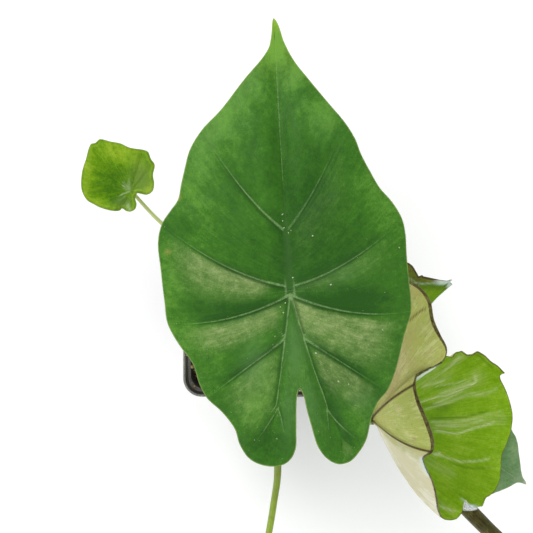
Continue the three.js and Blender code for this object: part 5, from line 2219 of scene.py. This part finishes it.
def set_down(name: str, bits: Sequence[Grain], skin: Skin, seed: int) -> Piece:
    """Makes one piece of small rough bits.

    Args:
        name: the piece's name.
        bits: the bits.
        skin: their material.
        seed: seed of their roughness and turns.

    Returns:
        The bits as one piece.
    """
    draw = random_source(seed)
    shape, faces = icosphere(2, 1.0)
    points, joined = [], []
    for number, bit in enumerate(bits):
        rough = 1 + 0.2 * np.sin(shape @ np.array((4.1, 2.9, 3.3)) + 2 * np.pi * draw())
        body = shape * rough[:, None] * bit.size * np.array((1.0, 0.55 + 0.35 * draw(), bit.flat))
        spin = Matrix.Rotation(2 * math.pi * draw(), 3, "Z")
        aim = Vector(bit.facing).to_track_quat("Z", "Y").to_matrix()
        points.append(body @ np.array(aim @ spin).T + np.array(bit.place))
        joined += [[number * len(shape) + point for point in face] for face in faces]
    return make_piece(name, np.vstack(points), joined, skin)


@dataclass
class Specks:
    """Mineral grains lying on a blade: a few clear ones, and fine dust on its lobes."""

    blade: Blade
    spots: tuple[Triple, ...] = (
        (-3.2, 32.7, 0.42), (-3.0, 30.4, 0.3), (-2.6, 27.3, 0.4), (-0.6, 25.4, 0.34), (0.2, 26.4, 0.26),
        (9.1, 24.3, 0.36), (1.0, 6.8, 0.36), (16.5, 4.0, 0.44), (45.3, 19.3, 0.36), (-1.9, -3.7, 0.34),
        (38.2, -15.3, 0.36), (-3.1, -7.3, 0.4), (-4.4, -5.2, 0.26), (10.7, -24.5, 0.42), (19.9, -35.9, 0.42),
        (24.4, -36.8, 0.34), (-5.6, -60.1, 0.38), (-14.6, -60.4, 0.26), (-6.3, -17.4, 0.3))
    dust: int = 60
    dust_top: float = 34.0
    seed: int = 29
    finish: CrumbFinish = CrumbFinish("mineral_specks", linear(160, 184, 132), linear(212, 222, 188),
                                      linear(150, 160, 120), 0.2, 0.6, 3.0)

    def build(self) -> Piece:
        """Sets the grains on the blade's upper face.

        Returns:
            The grains as one piece.
        """
        upper = self.blade.upper
        bits = []
        for x, y, size in self.spots:
            spot = np.array((x + self.blade.at[0], y + self.blade.at[1]))
            bits.append(self.laid(int(np.argmin(np.hypot(*(upper[:, :2] - spot).T))), size))
        draw = random_source(self.seed)
        low = np.flatnonzero(upper[:, 1] < self.dust_top)
        bits += [self.laid(int(low[int(draw() * len(low))]), 0.08 + 0.08 * draw()) for _ in range(self.dust)]
        return set_down("leaf_specks", bits, self.finish.build(), self.seed)

    def laid(self, point: int, size: float) -> Grain:
        """Lays a grain on the blade.

        Args:
            point: number of the point on the blade's upper face.
            size: its half length.

        Returns:
            The grain.
        """
        out = self.blade.upward[point]
        place = self.blade.upper[point] + out * size * 0.3
        return Grain(tuple(map(float, place)), size, 0.6, tuple(map(float, out)))


# Bits by place and half length: husks and bark heaped in the pot's near left corner, crumbs left on its ledge
CORNER_HUSKS = (
    (-47.7, -36.5, 89.2, 1.1), (-46.0, -37.4, 80.5, 0.9), (-10.4, -48.9, 89.9, 0.6), (-49.0, -31.0, 89.9, 0.5),
    (-46.4, -46.8, 89.9, 0.55), (11.0, -48.9, 89.9, 0.8),
)
CORNER_BARK = (
    (-46.1, -40.2, 79.4, 1.3), (-44.2, -43.2, 79.0, 1.4), (-45.9, -34.4, 79.2, 1.4), (-45.4, -38.6, 78.4, 1.5),
    (-43.6, -40.8, 78.2, 1.5), (-42.0, -44.6, 78.6, 1.2), (-46.2, -36.0, 78.0, 1.3), (-44.4, -36.6, 78.0, 1.6),
    (-46.3, -42.0, 81.2, 0.9), (-47.2, -47.6, 89.8, 0.7), (9.2, -50.4, 89.0, 0.6), (-46.3, -32.0, 79.8, 1.2),
)
CORNER_GRIT = (
    (10.2, -49.1, 90.0, 0.7), (-46.6, -38.7, 82.4, 0.5), (-44.9, -42.2, 80.6, 0.6), (-50.9, -30.4, 89.2, 0.4),
)


@dataclass
class Soil:
    """Potting mix in the pot: a bed with lumps, and loose crumbs, bark and perlite on it."""

    pot: Pot
    top: float = 76.0
    dome: float = 2.5
    lump: float = 0.9
    hole: float = 13.2
    clearance: float = 0.3
    bed_rings: int = 52
    crumbs: int = 26
    seed: int = 11
    bed: CrumbFinish = CrumbFinish("potting_mix", linear(22, 18, 15), linear(62, 48, 36), linear(130, 104, 74), 0.45)
    bark: CrumbFinish = CrumbFinish("bark", linear(66, 42, 26), linear(146, 108, 70), linear(190, 158, 112), 0.5,
                                    0.8, 1.4)
    perlite: CrumbFinish = CrumbFinish("perlite", linear(176, 172, 156), linear(222, 220, 208), linear(120, 108, 88),
                                       0.5, 0.85, 1.2)
    husk: CrumbFinish = CrumbFinish("husks", linear(112, 90, 60), linear(164, 138, 98), linear(190, 168, 130), 0.4,
                                    0.85, 1.2)

    def height(self, x: Array, y: Array) -> Array:
        """Height of the soil's top.

        Args:
            x: places to the right.
            y: places to the rear.

        Returns:
            One height a place.
        """
        away = np.hypot(x, y) / self.pot.top_half
        lumps = np.sin(x * 0.31 + 1) * np.cos(y * 0.27) + 0.6 * np.sin(x * 0.13 - y * 0.19)
        return self.top + self.dome * (1 - away) + self.lump * lumps

    @staticmethod
    def grit(x: Array, y: Array) -> Array:
        """Fine unevenness of the soil's top.

        Args:
            x: places to the right.
            y: places to the rear.

        Returns:
            What it adds to the height, one number a place.
        """
        return (0.45 * np.sin(1.1 * x + 1.7 * np.sin(0.6 * y)) * np.sin(1.3 * y + 1.1 * np.sin(0.8 * x))
                + 0.3 * np.sin(2.3 * x - 1.9 * y + 2 * np.sin(0.9 * y)) * np.sin(2.1 * y + 0.7 * x)
                + 0.15 * np.sin(5.1 * x + 3 * np.sin(y)) * np.sin(4.7 * y + 2 * np.sin(x)))

    def plug(self) -> tuple[Array, list[list[int]]]:
        """The body of soil that fills the pot round the stem.

        Returns:
            Points and faces.
        """
        low, low_corner = self.pot.inner(self.pot.floor, self.clearance)
        edge, corner = self.pot.inner(self.top - 2, self.clearance)
        steps = {"corner_steps": 14, "side_steps": 22}
        rings = [rounded_square(low, low_corner, self.pot.floor + self.clearance, **steps),
                 rounded_square(edge, corner, self.top - 2, **steps)]
        for inward in np.linspace(0, 1, self.bed_rings):
            half = (edge - 0.5 * min(1.0, inward * 20)) * (1 - inward) + self.hole * inward
            round_corner = corner * (1 - inward) + self.hole * inward
            ring = rounded_square(half, min(round_corner, half - 0.001), 0, **steps)
            ring[:, 2] = self.height(ring[:, 0], ring[:, 1]) + self.grit(ring[:, 0], ring[:, 1])
            rings.append(ring)
        rings.append(rounded_square(self.hole, self.hole - 0.001, 50, **steps))
        return loft(np.array(rings))

    def crumb(self, draw: Callable[[], float]) -> tuple[Array, list[list[int]]]:
        """One of the large crumbs, where the CAD has it.

        Args:
            draw: the run of random numbers.

        Returns:
            Points and faces.
        """
        size = 2.2 + 2.4 * draw() ** 2
        points, faces = icosphere(3, size)
        x, y = points[:, :1], points[:, 1:2]
        points *= 1 + 0.16 * np.sin(x * 4.6 / size + size * 9) * np.cos(y * 4 / size + size * 5)
        points *= np.array((1.0, 0.55 + 0.4 * draw(), 0.45 + 0.3 * draw()))
        tip = Matrix.Rotation(0.5 * (draw() - 0.5), 3, "X")
        spin = Matrix.Rotation(math.pi * draw(), 3, "Z")
        points = points @ np.array(spin @ tip).T
        angle = 2 * math.pi * draw()
        radius = 21 + 24 * math.sqrt(draw())
        reach = self.pot.top_half - 9.2
        x, y = (float(np.clip(radius * turn, -reach, reach)) for turn in (math.cos(angle), math.sin(angle)))
        points += np.array((x, y, float(self.height(np.array(x), np.array(y))) + size * 0.15))
        return points, faces

    def bed_piece(self) -> Piece:
        """Joins the bed and its large crumbs.

        Returns:
            The bed as one piece.
        """
        points, faces = self.plug()
        draw = random_source(self.seed)
        parts, joined = [points], list(faces)
        start = len(points)
        for _ in range(self.crumbs):
            more, more_faces = self.crumb(draw)
            parts.append(more)
            joined += [[start + point for point in face] for face in more_faces]
            start += len(more)
        return make_piece("soil_bed", np.vstack(parts), joined, self.bed.build())

    def scattered(self, name: str, finish: CrumbFinish, density: float, seed: int, smallest: float,
                  largest: float, flat: float) -> Piece:
        """Grows loose bits over the soil's top.

        Args:
            name: the piece's name.
            finish: the bits' finish.
            density: bits per square metre.
            seed: seed of their places.
            smallest: least radius in millimetres.
            largest: greatest radius in millimetres.
            flat: a bit's height and depth as a share of its length.

        Returns:
            The bits as one piece.
        """
        growth = Growth(f"{name}_tree", {
            "Density": ("Float", 100.0), "Seed": ("Int", 0), "Smallest": ("Float", 0.5), "Largest": ("Float", 1.5),
            "Flat": ("Float", 0.6), "Skin": ("Material", None)})
        spots = growth.node("GeometryNodeDistributePointsOnFaces", {"distribute_method": "RANDOM"},
                            {"Mesh": growth.size("Geometry"), "Density": growth.size("Density"),
                             "Seed": growth.size("Seed")})
        bit = growth.node("GeometryNodeMeshUVSphere", None, {"Radius": MM, "Segments": 7, "Rings": 5})
        draw = growth.node("FunctionNodeRandomValue", {"data_type": "FLOAT"},
                           {2: 0.0, 3: 1.0, "Seed": growth.size("Seed")})
        share = growth.value(draw, 1)
        length = growth.size("Smallest") + (growth.size("Largest") - growth.size("Smallest")) * share ** 2.5
        scale = growth.vector(length, length * (growth.size("Flat") + 0.3 * share), length * growth.size("Flat"))
        turn = growth.node("FunctionNodeRandomValue", {"data_type": "FLOAT_VECTOR"},
                           {0: (-0.6, -0.6, 0.0), 1: (0.6, 0.6, 6.283), "Seed": growth.size("Seed")})
        placed = growth.node("GeometryNodeInstanceOnPoints", None,
                             {"Points": spots.outputs["Points"], "Instance": bit.outputs[0],
                              "Rotation": turn.outputs[0], "Scale": scale})
        whole = growth.node("GeometryNodeRealizeInstances", None, {"Geometry": placed.outputs[0]})
        place = growth.value(growth.node("GeometryNodeInputPosition"))
        rough = growth.node("ShaderNodeTexNoise", {"normalize": False},
                            {"Vector": place, "Scale": 700.0, "Detail": 2.0})
        push = growth.node("ShaderNodeVectorMath", {"operation": "SCALE"}, {0: rough.outputs[1], "Scale": 0.5 * MM})
        moved = growth.node("GeometryNodeSetPosition", None,
                            {"Geometry": whole.outputs[0], "Offset": push.outputs[0]})
        values = {"Density": density, "Seed": seed, "Smallest": smallest, "Largest": largest, "Flat": flat,
                  "Skin": finish.build()}
        return growth.grow(self.open_top(name), moved.outputs[0], values, name)

    def open_top(self, name: str) -> Piece:
        """Makes a thin copy of the soil's top that bits are strewn on.

        Args:
            name: the name of the bits' piece.

        Returns:
            The copy.
        """
        half, count = self.pot.inner(self.top)[0] - 2.5, 40
        line = np.linspace(-half, half, count)
        x, y = np.meshgrid(line, line, indexing="ij")
        z = self.height(x, y) + self.grit(x, y)
        points = np.stack([x, y, z], axis=2).reshape(-1, 3)
        middles = (line[:-1] + line[1:]) / 2
        corners = [(i * count + j, i, j) for i in range(count - 1) for j in range(count - 1)]
        faces = [[at, at + count, at + count + 1, at + 1] for at, i, j in corners
                 if math.hypot(middles[i], middles[j]) > self.hole + 1.5]
        return make_piece(f"{name}_base", points, faces, bpy.data.materials.new(f"{name}_base"))

    def build(self) -> list[tuple[Piece, tuple[str, ...]]]:
        """Builds the bed and everything loose on it.

        Returns:
            Each piece with the CAD nodes it stands for.
        """
        pieces = [(self.bed_piece(), ("soil",)),
                  (self.scattered("soil_crumbs", self.bed, 90000.0, 3, 0.5, 1.9, 0.55), ()),
                  (self.scattered("bark_chips", self.bark, 16000.0, 5, 0.6, 3.0, 0.32), ()),
                  (self.scattered("perlite_grains", self.perlite, 5200.0, 8, 0.5, 1.6, 0.75), ())]
        for name, rows, finish in (("corner_husks", CORNER_HUSKS, self.husk), ("corner_bark", CORNER_BARK, self.bark),
                                   ("corner_grit", CORNER_GRIT, self.perlite)):
            bits = [Grain(row[:3], row[3], 0.65) for row in rows]
            pieces.append((set_down(name, bits, finish.build(), 40 + len(rows)), ()))
        return pieces


# ---- Studio ----


@dataclass
class Studio:
    """A pale floor, soft lamps, and the camera straight above the plant."""

    camera_place: Triple = (-0.0078, 0.0174, 0.990)
    lens: float = 113.4
    aim: Triple = (0.0, 0.0, 0.15)
    floor_half: float = 4000.0
    sky: RGBA = (0.98, 0.99, 1.0, 1.0)
    sky_strength: float = 0.85
    floor: FloorFinish = field(default_factory=FloorFinish)

    def lamp(self, name: str, place: Triple, size: float, power: float) -> None:
        """Adds one soft lamp that shines on the plant.

        Args:
            name: the lamp's name.
            place: where it hangs, in metres.
            size: width of its square, in metres.
            power: watts.
        """
        light = bpy.data.lights.new(name, "AREA")
        light.shape, light.size, light.energy = "SQUARE", size, power
        made = bpy.data.objects.new(name, light)
        made.location = place
        made.rotation_euler = (Vector(self.aim) - Vector(place)).to_track_quat("-Z", "Y").to_euler()
        bpy.context.collection.objects.link(made)

    def build(self) -> None:
        """Sets up floor, lamps, surroundings and camera."""
        corners = np.array([(-1, -1, 0), (1, -1, 0), (1, 1, 0), (-1, 1, 0)], float) * self.floor_half
        floor = make_piece("floor", corners, [[0, 1, 2, 3]], self.floor.build())
        self.lamp("key_lamp", (-0.9, 1.5, 1.6), 1.1, 26.0)
        self.lamp("fill_lamp", (1.5, -0.7, 1.3), 1.4, 9.0)
        self.lamp("front_lamp", (-1.1, -1.4, 1.2), 1.4, 12.0)
        world = bpy.data.worlds.new("surroundings")
        world.use_nodes = True
        sky = world.node_tree.nodes["Background"].inputs
        sky[0].default_value, sky[1].default_value = self.sky, self.sky_strength
        scene = bpy.context.scene
        scene.world = world
        scene.view_settings.view_transform = "Standard"
        camera = bpy.data.cameras.new("camera")
        camera.lens, camera.sensor_width = self.lens, 36.0
        camera.clip_start, camera.clip_end = 0.05, 20.0
        made = bpy.data.objects.new("camera", camera)
        made.location = self.camera_place
        bpy.context.collection.objects.link(made)
        scene.camera = made


# ---- The plant ----


@dataclass
class Leaf:
    """A leaf: its blade, its stalk, and names of two of the record's slots, which are passed on but not used."""

    node: str
    blade: Blade
    stalk: Stalk
    blade_slot: str
    stalk_slot: str

    def build(self) -> None:
        """Builds both pieces and ties them to the frame."""
        settle(self.blade.build(), self.blade_slot, f"{self.node}_blade")
        settle(self.stalk.build(self.blade), self.stalk_slot, f"{self.node}_petiole")


def green_stalk(name: str) -> StalkFinish:
    """The light green finish that most stalks have."""
    return StalkFinish(name, foot=linear(138, 156, 66), middle=linear(112, 132, 54), top=linear(104, 122, 50),
                       line=linear(160, 176, 88))


# Painted sheen on the main blade between its veins, and soft ovals of painted highlight, painted shade, greyer tone
# with painted sheen, and spots
MAIN_PANELS = (
    Panel(12, 16, 0.95, 0.75, 0.12), Panel(16, 20, 0.8, 0.55), Panel(20, 24, 0.3, 0.9, 0.03, 0.1),
    Panel(62, 56, 0.05), Panel(56, 52, 0.14, 0.6), Panel(52, 48, 1.0, 0.95, -0.1), Panel(48, 44, 0.6, 0.6),
    Panel(44, 42, 0.3, 1.0, 0.1, 0.0),
)
MAIN_PAINTED_LIGHT = ovals(
    (-27, 76, 9, 26, -35, 0.42), (-35, 60, 8, 16, -20, 0.3), (13.2, 72.9, 8, 9, 0, 0.6),
    (2.5, 91.9, 4, 9, -20, 0.55), (-41.5, 38.9, 9, 14, 0, 0.22), (36, 41, 10, 15, 35, 0.26), (-50, 2, 6, 24, 0, 0.2),
    (-42, -15, 9, 13, 30, 0.2), (-14, -46, 7, 8, 0, 0.3), (-11.7, -32.3, 5, 13, 10, 0.25),
    (22.7, 12, 15, 9, 20, 0.12), (3.2, -21, 5, 18, 0, 0.25), (28, -55, 5, 8, 0, 0.15), (-5.6, 106, 5, 11, -5, 0.75),
)
MAIN_PAINTED_SHADE = ovals(
    (0, 16, 11, 13, 0, 0.5), (8, 39, 19, 34, 0, 0.42), (-2, 62, 10, 22, 0, 0.25), (24.8, 0.8, 26, 8, -4, 0.4),
    (-14.6, 16, 14, 14, 0, 0.25), (-8.4, -62.5, 13, 8, 0, 0.35), (-45.6, 28.6, 8, 6, 0, 0.3),
    (-27, -5, 24, 4, 5, 0.3), (29, -36, 13, 4, -35, 0.35), (16.6, -38, 3.5, 15, 15, 0.4), (20, -62, 10, 6, 0, 0.2),
    (-22, 42, 9, 12, 0, 0.12), (-25, -47, 7, 7, 0, 0.15),
)
MAIN_GREY_AND_SHEEN = ovals(
    (2, -22, 5, 18, 0, 0.8), (-0.5, -48, 3.5, 15, 0, 0.55), (8.3, -44, 3.5, 13, 14, 0.6), (14, 70, 7, 8, 0, 0.25),
    (3.5, 93, 3, 9, -20, 0.25), (-18, 86, 4, 11, -40, 0.25), (28.5, -44, 6, 4, -20, 0.5), (-15, -28, 6, 12, 0, 0.7),
    (22, 8, 12, 4, 20, 0.35), (-33, 66, 5, 9, -30, 0.25),
)
MAIN_SPOTS = ovals(
    (-50.6, 17.4, 1.2, 1.0, 0, 0.7), (-46.3, 40.2, 0.9, 1.3, 0, 0.9),
)
# Strokes inside the cupped blade: pale creases with painted glints, broad pale smears and painted shade in folds; and
# a mark on its outside
CUP_STREAKS = (
    Stroke(((15.78, 0.42), (15.33, 0.5), (15.1, 0.57)), 0.6, 0.65),
    Stroke(((16.3, 0.45), (16.0, 0.55), (15.9, 0.66)), 0.5, 0.35),
    Stroke(((16.4, 0.6), (17.0, 0.76), (17.5, 0.93)), 0.7, 0.4),
    Stroke(((13.37, 0.33), (12.76, 0.54), (12.96, 0.69), (13.8, 0.75), (14.44, 0.78)), 0.6, 0.9),
    Stroke(((12.3, 0.42), (12.5, 0.56), (12.7, 0.66)), 0.42, 0.6), Stroke(((13.9, 0.5), (13.5, 0.6)), 0.42, 0.5),
    Stroke(((14.9, 0.5), (14.5, 0.6), (14.4, 0.7)), 0.42, 0.5), Stroke(((16.0, 0.7), (16.6, 0.85)), 0.42, 0.5),
    Stroke(((13.2, 0.5), (13.3, 0.6), (13.8, 0.7)), 1.6, 0.5),
    Stroke(((13.6, 0.36), (13.2, 0.5), (13.4, 0.64)), 0.4, 0.4),
    Stroke(((11.96, 0.35), (12.16, 0.51), (12.36, 0.68), (12.16, 0.84), (12.36, 0.94)), 0.6, 0.45),
    Stroke(((10.6, 0.37), (10.78, 0.62), (11.15, 0.81), (11.2, 0.9)), 0.45, 0.5),
    Stroke(((9.75, 0.41), (9.75, 0.56), (10.28, 0.7), (10.64, 0.85)), 0.42, 0.9),
    Stroke(((10.3, 0.42), (10.4, 0.6), (10.8, 0.76)), 0.42, 0.5),
    Stroke(((7.95, 0.47), (8.11, 0.64), (8.42, 0.76), (8.74, 0.89)), 0.45, 0.75),
    # The curl at row 7.7 and the short stroke at row 1 are painted highlights.
    Stroke(((7.7, 0.44), (7.95, 0.47), (8.15, 0.485)), 0.7, 1.0), Stroke(((1.03, 0.8), (1.63, 0.94)), 0.6, 0.55),
)
CUP_SMEARS = (
    Stroke(((15.78, 0.5), (16.96, 0.76), (17.44, 0.93)), 3.0, 0.6), Stroke(((15.5, 0.45), (15.1, 0.62)), 2.4, 0.5),
    Stroke(((17.4, 0.5), (17.6, 0.7)), 2.2, 0.5), Stroke(((12.9, 0.5), (12.96, 0.69), (14.4, 0.8)), 3.4, 0.55),
    Stroke(((12.16, 0.45), (12.36, 0.68), (12.2, 0.84)), 1.5, 0.4),
    Stroke(((10.2, 0.4), (10.64, 0.67), (10.82, 0.92)), 2.2, 0.65), Stroke(((6.5, 0.45), (6.78, 0.62)), 2.6, 0.45),
    Stroke(((1.2, 0.78), (1.5, 0.9)), 1.6, 0.4),
)
CUP_SHADES = (
    Stroke(((11.0, 0.37), (11.01, 0.62), (11.3, 0.8)), 0.45, 0.7),
    Stroke(((7.75, 0.58), (8.0, 0.75), (8.4, 0.92)), 0.5, 0.5), Stroke(((12.4, 0.34), (11.8, 0.5)), 1.5, 0.45),
    Stroke(((14.66, 0.48), (14.5, 0.58)), 0.6, 0.4), Stroke(((14.6, 0.96), (15.6, 0.965), (16.8, 0.96)), 0.6, 0.6),
    Stroke(((14.5, 0.34), (13.6, 0.3)), 1.2, 0.3),
)
CUP_MARKS = (
    Stroke(((33.5, 0.73), (33.78, 0.82), (34.1, 0.925)), 0.46, 1.0),
)
# Pale veins of the young blade, a painted highlight on its small curled lobe, and painted shade in its folds
YOUNG_STREAKS = (
    Stroke(((20.9, 0.03), (20.9, 0.2), (21.4, 0.32)), 0.35, 0.9), Stroke(((9.7, 0.05), (9.6, 0.24)), 0.6, 0.4),
    Stroke(((16.2, 0.05), (16.0, 0.2)), 0.35, 0.6), Stroke(((14.4, 0.04), (14.4, 0.19)), 0.3, 0.55),
    Stroke(((12.4, 0.04), (12.6, 0.17)), 0.35, 0.5), Stroke(((10.8, 0.03), (10.8, 0.16)), 0.35, 0.55),
    # The wide stroke at row 26.2 is a painted highlight on the small curled lobe.
    Stroke(((17.9, 0.04), (18.0, 0.16)), 0.3, 0.5), Stroke(((26.2, 0.72), (26.8, 0.9)), 1.1, 0.75),
    Stroke(((22.8, 0.3), (22.6, 0.5)), 0.4, 0.3),
)
YOUNG_SHADES = (
    Stroke(((15.8, 0.3), (16.6, 0.55), (17.1, 0.8)), 0.7, 0.7), Stroke(((18.9, 0.2), (19.3, 0.88)), 0.9, 0.75),
    Stroke(((13.5, 0.3), (13.8, 0.7)), 0.8, 0.3), Stroke(((6, 0.1), (5, 0.5)), 0.8, 0.35),
)


def leaves() -> list[Leaf]:
    """The plant's six leaves.

    Returns:
        The leaves, the main one first.
    """
    main = ShieldBlade("main_blade", at=(2, 6, 300), rib=1.3, panels=MAIN_PANELS, light=MAIN_PAINTED_LIGHT, dark=MAIN_PAINTED_SHADE,
                       grey=MAIN_GREY_AND_SHEEN, spots=MAIN_SPOTS)
    cup = CupBlade("cupped_blade", at=(43, -54.4, 200), rib=1.1, margin=CUP_RIM, rows_per_point=9, steps=52,
                   veins={17: 0.5, 21: 0.4, 41: 1.0, 45: 1.0}, streaks=CUP_STREAKS, smears=CUP_SMEARS,
                   shades=CUP_SHADES, marks=CUP_MARKS)
    right = ShieldBlade("right_blade", at=(150, -158, 205), heading=-46, hang=50, scale=0.85, mirror=True, rib=1.2,
                        tip_droop=24, lobe_droop=7, side_droop=8, bulge=1.6, rows_per_mm=0.9, steps=36,
                        finish=ShieldLeafFinish("right_leaf"))
    grey = ShieldLeafFinish("hanging_leaf", deep=linear(56, 102, 44), fresh=linear(80, 120, 64),
                            pale=linear(116, 146, 96), vein=linear(160, 178, 140), band=linear(150, 170, 130),
                            tip=linear(176, 184, 160), painted_sheen=linear(146, 160, 130))
    hanging = ShieldBlade("hanging_blade", at=(93.3, -74, 106), heading=-30, hang=36, scale=0.6, mirror=True, rib=0.9,
                          tip_droop=14, lobe_droop=9, side_droop=5, bulge=1.3, rows_per_mm=0.9, steps=30,
                          finish=grey)
    front = ShieldBlade("front_blade", at=(-14, -150, 222), heading=-97, hang=50, scale=0.62, rib=0.9, tip_droop=16,
                        lobe_droop=5, side_droop=6, bulge=1.3, rows_per_mm=0.9, steps=30,
                        finish=ShieldLeafFinish("front_leaf"))
    young = YoungBlade("young_blade", at=(-74.2, 54.3, 170), thickness=0.7, rib=0.4, streaks=YOUNG_STREAKS,
                       shades=YOUNG_SHADES,
                       veins={1: 0.4, 4: 0.8, 8: 0.8, 12: 1.0, 16: 1.0, 19: 1.0, 22: 0.8, 27: 0.6})
    dark = StalkFinish("dark_stalk", foot=linear(94, 96, 40), middle=linear(72, 68, 24), top=linear(66, 64, 22),
                       line=linear(124, 112, 68), mark=linear(42, 34, 12), marks=0.8, lines=0.3, rough=0.6, gloss=0.2)
    pale = StalkFinish("pale_stalk", foot=linear(150, 164, 84), middle=linear(176, 188, 118),
                       top=linear(178, 190, 120), line=linear(200, 208, 154), marks=0.05)
    front_green = StalkFinish("front_stalk", foot=linear(112, 128, 52), middle=linear(96, 112, 38),
                              top=linear(150, 178, 50), line=linear(150, 168, 78), marks=0.25, lines=0.35)
    return [
        Leaf("leaf_main", main, Stalk("main_stalk", ((0, 0, 90), (1, 2, 130), (4, 7, 215)), 9, 2.6, 18,
                                      green_stalk("main_stalk_skin")), "leaf_green", "stalk_green"),
        Leaf("leaf_cup", cup, Stalk("cupped_stalk", ((6.4, 6.4, 84), (12, 8, 115), (8, -32, 168)), 7, 2, 16,
                                    green_stalk("cupped_stalk_skin")), "leaf_lime", "stalk_green"),
        Leaf("leaf_right", right, Stalk("right_stalk", ((4.5, -7.8, 84), (17, -22, 109), (50.2, -55.8, 139),
                                                        (91.8, -102.4, 168)), 8, 3.4, 22, dark, ridge=0.18),
             "leaf_green", "stalk_dark"),
        Leaf("leaf_hanging", hanging, Stalk("hanging_stalk", ((8.8, -1.8, 84), (24, -9, 95), (60, -44, 99)), 5, 1.6, 6,
                                            green_stalk("hanging_stalk_skin")), "leaf_grey_green", "stalk_green"),
        Leaf("leaf_front", front, Stalk("front_stalk", ((-6, -6.7, 84), (-11, -18, 102), (-2.3, -78.8, 172),
                                                        (-4.7, -97.8, 189)), 5.5, 1.5, 18, front_green,
                                        narrowing=3.2),
             "leaf_green", "stalk_green"),
        Leaf("leaf_young", young, Stalk("young_stalk", ((-7.9, 4.4, 84), (-18, 11, 104), (-42, 25, 139),
                                                        (-61, 40, 158)), 4.4, 0.9, 6, pale, ridge=0.05,
                                        narrowing=3.0),
             "leaf_young_lime", "stalk_pale"),
    ]


def main() -> None:
    """Builds the plant in order, then the studio."""
    logging.basicConfig(level=logging.INFO, format="%(message)s")
    pot = Pot()
    settle(pot.build(), "pot_plastic", "pot")
    for piece, nodes in Soil(pot).build():
        settle(piece, "potting_mix", *nodes)
    settle(Stem().build(), "stem_skin", "stem")
    plant = leaves()
    for leaf in plant:
        leaf.build()
    settle(Specks(plant[0].blade).build(), "potting_mix")
    fold = Fold("notch_fold", at=(86.9, -96.2, 197.2), thickness=0.5, margin=FOLD_MARGIN, steps=8)
    settle(fold.build(), "leaf_lime")
    Studio().build()
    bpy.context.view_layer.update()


if __name__ == "__main__":
    main()
